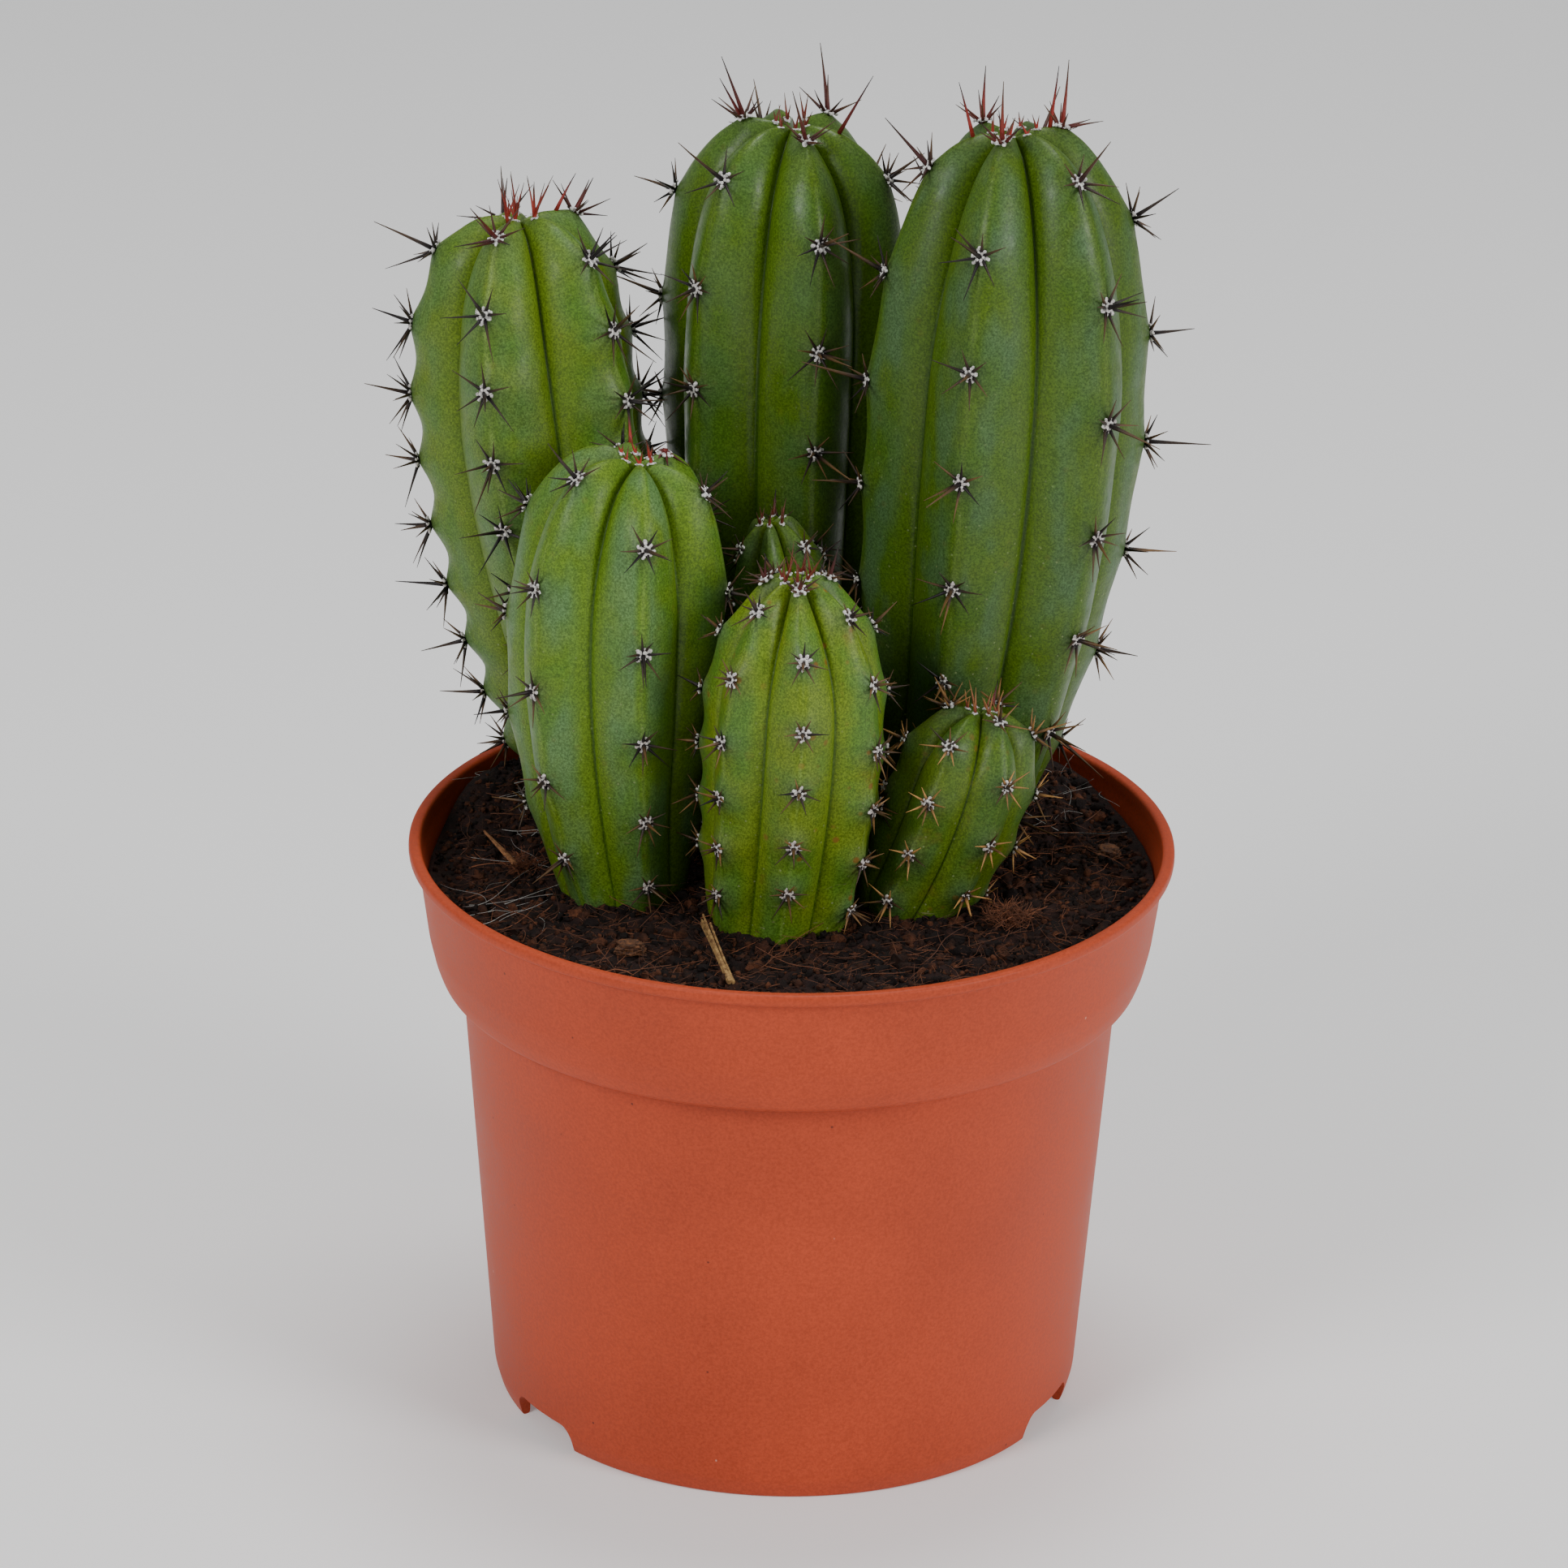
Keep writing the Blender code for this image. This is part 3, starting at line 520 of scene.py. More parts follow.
    def place(self, arc, turn):
        """Points of the skin."""
        stem = self.stem
        arc = np.atleast_1d(np.asarray(arc, float))
        turn = np.broadcast_to(np.asarray(turn, float), arc.shape)
        fraction = np.interp(arc, self.arc, self.fraction)
        radius = np.interp(arc, self.arc, self.radius)
        out = np.interp(arc, self.arc, self.slope_out)
        rise = np.interp(arc, self.arc, self.slope_up)
        across = (turn - np.round(turn)) * 2.0
        widest = stem.radius * MM
        reach = CROWN_REACH * widest
        crowned = smooth_step(0.66, 0.97, fraction)
        depth = 1.0 - math.cos(math.pi / stem.ribs) + FLAT_FLANK_EXTRA + CROWN_GROOVE_EXTRA * crowned
        depth = depth * smooth_step(-1.6 * BURIED_LENGTH / self.length, 0.25, fraction)
        cleft = 0.09 * widest * (1.0 - np.exp(-radius / (0.12 * widest)))
        cleft = cleft * (1.0 - smooth_step(0.30 * widest, 0.85 * widest, radius))
        drop = (depth * radius + cleft * (fraction > stem.widest)) * flank_drop(across, 0.95 - 0.40 * crowned)
        stand = self.swelling(arc, turn, radius) - drop
        dimple = 0.11 * widest * np.clip(1.0 - radius / reach, 0.0, 1.0) ** 2 * (fraction > stem.widest)
        azimuth = np.radians(stem.first_rib_deg + stem.twist_deg * fraction - 90.0)
        azimuth = azimuth + turn * 2.0 * math.pi / stem.ribs
        azimuth = azimuth + 0.012 * np.sin(arc / (21.0 * MM) + self.phases[3])
        up, right, back = self.directions(fraction)
        sideways = right * np.cos(azimuth)[:, None] + back * np.sin(azimuth)[:, None]
        outward = np.maximum(radius + stand * out, 0.0)
        return self.axis(fraction) + sideways * outward[:, None] + up * (stand * rise - dimple)[:, None]

    def seat(self, arc, turn):
        """A point of the skin with its outward normal and the direction down the crest."""
        step = 0.4 * MM
        here, below, above = self.place(np.array((arc, arc + step, max(arc - step, 0.0))), turn)
        down = unit(below - above)
        left, right = self.place(np.array((arc, arc)), np.array((turn - 0.1, turn + 0.1)))
        normal = unit(np.cross(right - left, down))
        centre = self.axis(np.interp(arc, self.arc, self.fraction))
        if normal.dot(here - centre) < 0.0 and normal[2] < 0.5:
            normal = -normal
        return here, normal, down

    def find_areoles(self):
        """Every areole of the stem, with an infant one on each rib beside the apex."""
        stem = self.stem
        found = []
        for rib, places in enumerate(self.areole_arcs):
            infant = max(2.0, 0.13 * stem.radius) * MM * self.random.uniform(0.8, 1.25)
            for place in (infant, *places):
                if place > infant and place < infant + 2.2 * MM:
                    continue
                foot, normal, down = self.seat(place, float(rib))
                young = place == infant
                count = (4 if stem.ribs < 6 else 2) if young else self.random.choice((6, 6, 7, 7, 8))
                start = self.random.uniform(0.0, 2.0 * math.pi)
                angles = tuple(start + index * 2.0 * math.pi / count + self.random.uniform(-0.2, 0.2)
                               for index in range(count))
                side = np.cross(normal, down)
                found.append(Areole(foot, normal, down, side, place / self.soil_arc, young, angles))
        return found


SHAPES = {}


def shape_of(stem):
    if stem.name not in SHAPES:
        SHAPES[stem.name] = StemShape(stem)
    return SHAPES[stem.name]


def soil_height(x, y):
    height = SOIL_LEVEL
    for centre_x, centre_y, rise, spread in SOIL_MOUNDS:
        away = math.hypot(x - centre_x, y - centre_y) / spread
        height += rise * math.exp(-away * away)
    return height


def soil_roughness(x, y):
    """Crumbly relief on the soil's mounds."""
    place = Vector((x, y, 0.0))
    coarse = noise.noise(place / (9.0 * MM))
    middle = noise.noise(place / (3.4 * MM) + Vector((5.0, 1.0, 0.0)))
    fine = noise.noise(place / (1.5 * MM) + Vector((1.0, 7.0, 3.0)))
    return (1.0 * coarse + 0.95 * middle + 0.55 * fine) * MM


# ---- finishes


def scaled(colour, factor):
    return tuple(part * factor for part in colour)


class Finish:
    """One procedural material and the nodes that make it."""

    def __init__(self, name):
        self.material = bpy.data.materials.new(name)
        self.material.use_nodes = True
        self.nodes = self.material.node_tree.nodes
        self.links = self.material.node_tree.links
        self.shader = self.nodes["Principled BSDF"]
        self.where = self.nodes.new("ShaderNodeTexCoord").outputs["Object"]

    def put(self, socket, value):
        if isinstance(value, bpy.types.NodeSocket):
            self.links.new(value, socket)
        elif isinstance(value, (int, float)):
            socket.default_value = value
        else:
            socket.default_value = (*value, 1.0)[: len(socket.default_value)]

    def attribute(self, name):
        node = self.nodes.new("ShaderNodeAttribute")
        node.attribute_name = name
        return node.outputs["Fac"]

    def math(self, operation, first, second):
        node = self.nodes.new("ShaderNodeMath")
        node.operation = operation
        self.put(node.inputs[0], first)
        self.put(node.inputs[1], second)
        return node.outputs[0]

    def span(self, value, low, high, start=0.0, end=1.0):
        node = self.nodes.new("ShaderNodeMapRange")
        node.interpolation_type = "SMOOTHSTEP"
        self.put(node.inputs["Value"], value)
        for key, number in (("From Min", low), ("From Max", high), ("To Min", start), ("To Max", end)):
            node.inputs[key].default_value = number
        return node.outputs["Result"]

    def mix(self, share, first, second, blend="MIX"):
        node = self.nodes.new("ShaderNodeMix")
        node.data_type = "RGBA"
        node.blend_type = blend
        self.put(node.inputs["Factor"], share)
        self.put(node.inputs[6], first)
        self.put(node.inputs[7], second)
        return node.outputs[2]

    def lay(self, colour, over, share, *factors):
        """The colour with another laid over it, as strongly as the share times the factors."""
        for factor in factors:
            share = self.math("MULTIPLY", share, factor)
        return self.mix(share, colour, over)

    def shade(self, colour, share, low, high):
        """The colour multiplied by one that runs from low to high."""
        return self.mix(1.0, colour, self.mix(share, low, high), "MULTIPLY")

    def stretched(self, scale):
        node = self.nodes.new("ShaderNodeMapping")
        self.links.new(self.where, node.inputs["Vector"])
        node.inputs["Scale"].default_value = scale
        return node.outputs["Vector"]

    def noise(self, size, detail=3.0, roughness=0.5, where=None):
        """Soft noise whose blobs are about this size."""
        node = self.nodes.new("ShaderNodeTexNoise")
        self.links.new(where or self.where, node.inputs["Vector"])
        node.inputs["Scale"].default_value = 1.0 / size
        node.inputs["Detail"].default_value = detail
        node.inputs["Roughness"].default_value = roughness
        return node.outputs["Fac"]

    def cells(self, size, where=None):
        """Distance to scattered points about this far apart, in units of that size."""
        node = self.nodes.new("ShaderNodeTexVoronoi")
        self.links.new(where or self.where, node.inputs["Vector"])
        node.inputs["Scale"].default_value = 1.0 / size
        return node.outputs["Distance"]

    def bump(self, height, distance, strength=1.0, under=None):
        node = self.nodes.new("ShaderNodeBump")
        node.inputs["Distance"].default_value = distance
        node.inputs["Strength"].default_value = strength
        self.links.new(height, node.inputs["Height"])
        if under is not None:
            self.links.new(under, node.inputs["Normal"])
        return node.outputs["Normal"]

    def wear(self, **values):
        """Sets or links the shader's own sockets, named as on the shader with _ for a space."""
        for key, value in values.items():
            self.put(self.shader.inputs[key.replace("_", " ")], value)
        return self.material


def skin_finish(stem, settings):
    """Waxy skin: painted shade in the grooves and on shaded stems, pale crest line, blue-green bloom, fine
    speckle, rusty spots.
    """
    make = Finish(f"{stem.name}_skin")
    yellow, dark, bloom, rust, pale_line = stem.tint
    crest = make.attribute("crest")
    level = make.attribute("level")
    skin = tuple(settings.skin)
    sunny = (skin[0] * (1.25 + yellow), skin[1] * (1.05 + 0.25 * yellow), skin[2] * 0.55)
    cloud = make.span(make.noise(9.0 * MM, 3.0, 0.55), 0.35, 0.68)
    colour = make.mix(cloud, skin, sunny)
    colour = make.lay(colour, sunny, make.span(crest, 0.45, 0.85), 0.65)
    patch = make.span(make.noise(6.0 * MM, 2.0, 0.5, make.stretched((1.0, 1.0, 0.45))), 0.36, 0.66)
    flank = (make.span(crest, 0.04, 0.20), make.span(crest, 0.86, 0.50))
    colour = make.lay(colour, settings.bloom, patch, *flank, bloom)
    colour = make.lay(colour, HALO_COLOUR, make.attribute("halo"), 0.60)
    broken = make.span(make.noise(5.0 * MM), 0.35, 0.6, 0.25, 1.0)
    colour = make.lay(colour, settings.crest, make.span(crest, 0.075, 0.0), broken, pale_line)
    colour = make.lay(colour, YOUNG_SKIN, make.span(level, 0.16, 0.0), make.span(crest, 0.9, 0.2), 0.50)
    # Painted shade: the grooves darkened, in place of the shade that falls in them.
    colour = make.lay(colour, settings.groove, make.span(crest, 0.93, 1.0), 0.70)
    grain = make.span(make.noise(0.34 * MM, 3.0, 0.75), 0.32, 0.70)
    # Painted shade: a stem standing behind or beside others is darkened all over, in place of the shade they
    # cast on it.
    shade = 1.0 - 0.42 * dark
    colour = make.shade(colour, grain, scaled((0.58, 0.62, 0.52), shade), scaled((1.48, 1.42, 1.55), shade))
    flecks = make.span(make.cells(1.7 * MM), 0.13, 0.06)
    colour = make.lay(colour, FLECK_COLOUR, flecks, make.span(level, 0.30, 0.90, 0.15, 0.65))
    spots = make.span(make.cells(3.6 * MM), 0.20, 0.08)
    clusters = make.span(make.noise(14.0 * MM), 0.42, 0.60)
    colour = make.lay(colour, settings.rust, spots, clusters, min(1.0, rust * 1.5))
    stain = make.span(make.noise(5.5 * MM, 4.0, 0.6), 0.60, 0.76)
    colour = make.lay(colour, settings.rust, stain, rust * 0.55)
    cork = make.span(make.noise(2.4 * MM, 3.0, 0.6, make.stretched((0.6, 0.6, 2.6))), 0.66, 0.74)
    colour = make.lay(colour, CORK_COLOUR, cork, make.span(level, 0.72, 0.95), 0.6)
    rough = make.math("ADD", make.span(make.noise(2.2 * MM), 0.3, 0.7, -0.05, 0.08), stem.gloss)
    relief = make.bump(make.noise(0.55 * MM, 2.0, 0.6), 0.05 * MM, 0.5)
    relief = make.bump(make.noise(3.2 * MM, 3.0, 0.5), 0.22 * MM, 0.45, relief)
    return make.wear(Base_Color=colour, Roughness=rough, Normal=relief, IOR=1.42, Specular_IOR_Level=0.34)


def felt_finish(settings):
    """White wool, mottled, and browner on the older areoles."""
    make = Finish("areole_felt")
    mottle = make.span(make.noise(0.45 * MM, 3.0, 0.7), 0.36, 0.62)
    colour = make.mix(mottle, scaled(settings.felt, 0.42), settings.felt)
    colour = make.lay(colour, OLD_FELT, make.attribute("old"), 0.45)
    relief = make.bump(make.noise(0.22 * MM, 2.0, 0.7), 0.12 * MM, 0.8)
    return make.wear(Base_Color=colour, Roughness=0.95, Normal=relief, Specular_IOR_Level=0.2,
                     Sheen_Weight=0.35, Sheen_Roughness=0.6)


def spine_finish(settings):
    """Black-brown spines, tan towards the tips of the older ones and red at the feet of the youngest."""
    make = Finish("spine_horn")
    along = make.attribute("along")
    colour = make.lay(settings.dark, settings.tan, make.attribute("tan"), make.span(along, 0.10, 0.55))
    colour = make.lay(colour, settings.blush, make.attribute("young"), make.span(along, 0.95, 0.25))
    streaks = make.noise(0.5 * MM, 3.0, 0.7)
    colour = make.shade(colour, streaks, (0.55, 0.55, 0.55), (1.45, 1.40, 1.35))
    return make.wear(Base_Color=colour, Roughness=make.span(streaks, 0.2, 0.8, 0.35, 0.55),
                     Normal=make.bump(streaks, 0.03 * MM, 0.5), Specular_IOR_Level=0.3)


def peat_finish(settings):
    """Damp peat in dark and warmer clumps, with threads of coir in it."""
    make = Finish("damp_peat")
    clumps = make.span(make.noise(3.0 * MM, 4.0, 0.65), 0.35, 0.68)
    colour = make.mix(clumps, scaled(settings.peat, 0.55), scaled(settings.peat, 2.1))
    threads = make.span(make.noise(1.1 * MM, 4.0, 0.75, make.stretched((1.0, 0.35, 1.0))), 0.58, 0.70)
    colour = make.lay(colour, settings.fibre, threads, 0.30)
    relief = make.bump(make.noise(0.9 * MM, 4.0, 0.7), 0.8 * MM, 0.9)
    return make.wear(Base_Color=colour, Roughness=make.span(clumps, 0.0, 1.0, 0.82, 0.98), Normal=relief,
                     Specular_IOR_Level=0.3)


def crumb_finish(settings):
    """Loose peat, each crumb with its own tone."""
    make = Finish("peat_crumbs")
    ground = make.noise(0.8 * MM, 4.0, 0.7)
    colour = make.mix(make.attribute("tone"), scaled(settings.peat, 0.4), scaled(settings.fibre, 0.50))
    colour = make.shade(colour, make.span(ground, 0.3, 0.7), (0.55, 0.5, 0.5), (1.6, 1.6, 1.6))
    return make.wear(Base_Color=colour, Roughness=0.93, Normal=make.bump(ground, 0.5 * MM, 0.9),
                     Specular_IOR_Level=0.3)


def fibre_finish(name, settings, bright, pale=False):
    """Coir and roots, or pale root hairs, each strand with its own tone."""
    make = Finish(name)
    streak = make.noise(0.6 * MM, 3.0, 0.7)
    light = ROOT_HAIR if pale else scaled(settings.fibre, bright)
    colour = make.mix(make.attribute("tone"), scaled(light, 0.6 if pale else 0.25), light)
    colour = make.shade(colour, streak, (0.6, 0.6, 0.6), (1.4, 1.4, 1.4))
    return make.wear(Base_Color=colour, Roughness=0.78, Normal=make.bump(streak, 0.05 * MM, 0.6))


def dry_finish(name, light, dark, size):
    """Dry plant matter: straw, wood or bark, mottled, with dark flecks."""
    make = Finish(name)
    mottle = make.span(make.noise(size, 4.0, 0.7), 0.32, 0.68)
    colour = make.mix(mottle, dark, light)
    flecks = make.span(make.cells(size * 1.6), 0.25, 0.10)
    colour = make.lay(colour, scaled(dark, 0.3), flecks, 0.5)
    return make.wear(Base_Color=colour, Roughness=0.8, Normal=make.bump(mottle, 0.15 * MM, 0.8))


def plastic_finish(settings):
    """Satin moulded plastic with a fine grain, faint clouds, specks, pale nicks and a stained inside."""
    make = Finish("terracotta_plastic")
    cloud = make.span(make.noise(26.0 * MM, 3.0, 0.5), 0.3, 0.7)
    colour = make.mix(cloud, scaled(settings.plastic, 0.94), scaled(settings.plastic, 1.06))
    grain = make.noise(0.50 * MM, 2.0, 0.7)
    colour = make.shade(colour, make.span(grain, 0.25, 0.75), (0.86, 0.84, 0.82), (1.14, 1.16, 1.20))
    specks = make.span(make.cells(7.0 * MM), 0.040, 0.022)
    colour = make.lay(colour, SPECK_COLOUR, specks, 0.75)
    nicks = make.span(make.cells(13.0 * MM, make.stretched((1.0, 1.0, 0.8))), 0.022, 0.012)
    colour = make.lay(colour, NICK_COLOUR, nicks, 0.6)
    damp = make.span(make.noise(5.0 * MM, 4.0, 0.65), 0.25, 0.65, 0.72, 1.0)
    colour = make.lay(colour, settings.stain, make.attribute("inside"), damp)
    rough = make.math("ADD", make.span(grain, 0.2, 0.8, -0.06, 0.06), make.span(cloud, 0.0, 1.0, 0.47, 0.53))
    relief = make.bump(grain, 0.035 * MM, 0.7)
    relief = make.bump(make.noise(17.0 * MM, 2.0, 0.5), 0.16 * MM, 0.4, relief)
    return make.wear(Base_Color=colour, Roughness=rough, Normal=relief, IOR=1.46, Specular_IOR_Level=0.22)


# ---- pot


def rounded(corners, radius, steps):
    """The outline with an arc of this radius at each inner corner."""
    outline = [corners[0]]
    for before, corner, after in zip(corners, corners[1:], corners[2:]):
        corner, one, other = np.array(corner), np.array(before), np.array(after)
        size = min(radius, 0.45 * np.linalg.norm(one - corner), 0.45 * np.linalg.norm(other - corner))
        start = corner + unit(one - corner) * size
        end = corner + unit(other - corner) * size
        for step in range(steps + 1):
            part = step / steps
            place = start * (1.0 - part) ** 2 + corner * 2.0 * part * (1.0 - part) + end * part ** 2
            outline.append(tuple(place))
    outline.append(corners[-1])
    return outline


def pot_outline(height, rim):
    """Half of the pot's section, from the inside of its floor over the rim to its underside."""
    inner = rim - RIM_WALL
    lip = height - LIP_DEPTH
    ring = FOOT_RADIUS - WALL_THICKNESS
    corners = [
        (0.0, FLOOR_TOP), (FLOOR_RADIUS, FLOOR_TOP), (STEP_RADIUS, INNER_STEP), (BEND_RADIUS, INNER_BEND),
        (inner - 0.25 * MM, lip - 1.0 * MM), (inner, height), (rim, height), (rim, lip),
        (rim - 1.4 * MM, lip - 0.3 * MM), (56.9 * MM, 77.5 * MM), (56.0 * MM, 73.6 * MM),
        (55.1 * MM, 71.2 * MM), (54.0 * MM, 70.4 * MM), (51.7 * MM, 70.2 * MM), (46.75 * MM, 3.0 * MM),
        (FOOT_RADIUS, 0.0), (ring, 0.0), (ring - 0.2 * MM, FLOOR_UNDERSIDE), (0.0, FLOOR_UNDERSIDE),
    ]
    return rounded(corners, EDGE_RADIUS, 4)


def notch_block(azimuth):
    """A cutter with rounded upper corners, across the foot ring."""
    bm = bmesh.new()
    bmesh.ops.create_cube(bm, size=1.0)
    bmesh.ops.scale(bm, vec=NOTCH_SIZE, verts=bm.verts)
    top = [edge for edge in bm.edges if all(point.co.z > 0.0 for point in edge.verts)]
    corners = [edge for edge in top if edge.verts[0].co.x * edge.verts[1].co.x > 0.0]
    bmesh.ops.bevel(bm, geom=corners, offset=NOTCH_CORNER, segments=8, profile=0.5, affect="EDGES",
                    material=-1)
    place = Matrix.Rotation(azimuth, 4, "Z") @ Matrix.Translation((0.0, -FOOT_RADIUS, 0.0))
    bmesh.ops.transform(bm, matrix=place, verts=bm.verts)
    return bm


def drain_drill(azimuth):
    bm = bmesh.new()
    place = Matrix.Rotation(azimuth, 4, "Z") @ Matrix.Translation((0.0, -DRAIN_REACH, FLOOR_UNDERSIDE))
    bmesh.ops.create_cone(bm, cap_ends=True, segments=40, radius1=DRAIN_RADIUS, radius2=DRAIN_RADIUS,
                          depth=2.0 * DRAIN_RADIUS, matrix=place)
    return bm


def cut(target, bm):
    """Takes a closed shape away from an object's mesh."""
    bmesh.ops.recalc_face_normals(bm, faces=bm.faces)
    mesh = mesh_of("cutter", bm)
    cutter = placed("cutter", mesh)
    step = target.modifiers.new("cut", "BOOLEAN")
    step.operation = "DIFFERENCE"
    step.solver = "EXACT"
    step.object = cutter
    graph = bpy.context.evaluated_depsgraph_get()
    old = target.data
    target.data = bpy.data.meshes.new_from_object(target.evaluated_get(graph))
    target.modifiers.clear()
    bpy.data.meshes.remove(old)
    bpy.data.objects.remove(cutter)
    bpy.data.meshes.remove(mesh)


class CACTUS_OT_pot(bpy.types.Operator):
    """Model the pot: turned wall, rim and collar, with notches in its foot and holes in its floor"""

    bl_idname = "cactus.pot"
    bl_label = "Pot"

    def execute(self, context):
        settings = context.scene.cactus.pot
        bm = bmesh.new()
        outline = pot_outline(settings.height, settings.rim_radius)
        points = [bm.verts.new((radius, 0.0, height)) for radius, height in outline]
        edges = [bm.edges.new(pair) for pair in zip(points, points[1:])]
        bmesh.ops.spin(bm, geom=points + edges, cent=(0.0, 0.0, 0.0), axis=(0.0, 0.0, 1.0),
                       angle=2.0 * math.pi, steps=settings.segments, use_merge=True)
        bmesh.ops.remove_doubles(bm, verts=bm.verts, dist=0.002 * MM)
        bmesh.ops.recalc_face_normals(bm, faces=bm.faces)
        pot = finished("pot_shell", bm, plastic_finish(settings), ("pot",))
        for degrees in NOTCH_AZIMUTHS_DEG:
            cut(pot, notch_block(math.radians(degrees)))
            cut(pot, drain_drill(math.radians(degrees)))
        pot.data.shade_smooth()
        pot.data.set_sharp_from_angle(angle=math.radians(38.0))
        places = points_of(pot.data)
        reach = np.hypot(places[:, 0], places[:, 1])
        levels = places[:, 2]
        wall = np.interp(levels, (FLOOR_TOP, INNER_STEP, INNER_BEND, settings.height),
                         (FLOOR_RADIUS, STEP_RADIUS, BEND_RADIUS, MOUTH_RADIUS))
        inside = (reach < wall + 0.15 * MM) & (levels > FLOOR_TOP - 0.1 * MM)
        below_rim = smooth_step(settings.height - 0.3 * MM, settings.height - 1.8 * MM, levels)
        store(pot.data, "inside", inside * below_rim)
        return {"FINISHED"}


# ---- stems


class CACTUS_OT_stems(bpy.types.Operator):
    """Model the skin of the seven stems, with their ribs, grooves and areole mounds"""

    bl_idname = "cactus.stems"
    bl_label = "Stems"

    steps_per_rib = 20
    rings = 170

    def execute(self, context):
        for stem in STEMS:
            self.make(stem, context.scene.cactus.stem)
        return {"FINISHED"}

    def make(self, stem, settings):
        """A globe, pulled into the stem's shape ring by ring."""
        shape = shape_of(stem)
        around = stem.ribs * self.steps_per_rib
        bm = bmesh.new()
        bmesh.ops.create_uvsphere(bm, u_segments=around, v_segments=self.rings, radius=1.0)
        globe = np.array([point.co for point in bm.verts])
        polar = np.arccos(np.clip(globe[:, 2], -1.0, 1.0)) / math.pi
        arc = shape.arc[-1] * polar ** 1.12
        turn = np.round(np.arctan2(globe[:, 1], globe[:, 0]) / (2.0 * math.pi) * around) / self.steps_per_rib
        even = (turn - np.round(turn)) * 2.0
        turn = np.round(turn) + np.sign(even) * 0.5 * (1.0 - (1.0 - np.abs(even)) ** 1.35)
        for point, place in zip(bm.verts, shape.place(arc, turn)):
            point.co = place
        bmesh.ops.recalc_face_normals(bm, faces=bm.faces)
        made = finished(f"{stem.name}_skin", bm, skin_finish(stem, settings), (stem.name,))
        across = np.abs(turn - np.round(turn)) * 2.0
        gap, _ = shape.nearest_areole(arc, np.round(turn).astype(int) % stem.ribs)
        sideways = across * math.pi * np.interp(arc, shape.arc, shape.radius) / stem.ribs
        store(made.data, "crest", across)
        store(made.data, "halo", np.exp(-(gap ** 2 + sideways ** 2) / (2.3 * MM) ** 2))
        store(made.data, "level", np.clip(arc / shape.soil_arc, 0.0, 1.2))


# ---- areoles


class CACTUS_OT_areoles(bpy.types.Operator):
    """Model the woolly felt of each areole, as small tufts between the spines"""

    bl_idname = "cactus.areoles"
    bl_label = "Areoles"

    def execute(self, context):
        settings = context.scene.cactus.spine
        finish = felt_finish(settings)
        for stem in STEMS:
            dice = random.Random(SEED * 3 + STEMS.index(stem))
            wool = Gathering(crumb_template(1))
            size = settings.pad * min(1.0, 0.62 + 0.38 * stem.radius / 18.0)
            for areole in shape_of(stem).areoles:
                grown = 0.62 if areole.infant else 1.08 - 0.22 * areole.share
                self.add_pad(wool, dice, areole, size * grown)
            wool.finish(f"{stem.name}_felt", finish, "areole_felt")
        return {"FINISHED"}

    def add_pad(self, wool, dice, areole, size):
        """A low pad with tufts on it, between the feet of the spines."""
        rows = np.array((areole.side, areole.down, areole.normal))
        wool.add(wool.rest * np.array((0.80, 0.88, 0.20)) * size @ rows + areole.foot, old=areole.share)
        gap = math.pi / len(areole.angles)
        places = [(angle + gap, 0.80) for angle in areole.angles]
        places += [(angle + gap * 0.8, 0.42) for angle in areole.angles]
        places += [(angle + gap * 1.3, 0.98) for angle in areole.angles[::2]]
        for angle, away in places:
            tuft = size * dice.uniform(0.19, 0.30)
            centre = areole.foot + areole.flat(angle + dice.uniform(-0.15, 0.15)) * away * size
            centre = centre + areole.normal * size * (0.16 * (1.0 - away * away) + dice.uniform(0.0, 0.10))
            stretch = np.array((dice.uniform(0.7, 1.3), dice.uniform(0.7, 1.3), dice.uniform(0.6, 1.0)))
            old = min(1.0, areole.share * dice.uniform(0.4, 1.6))
            wool.add(wool.rest * tuft * stretch @ rows + centre, old=old)


# ---- spines


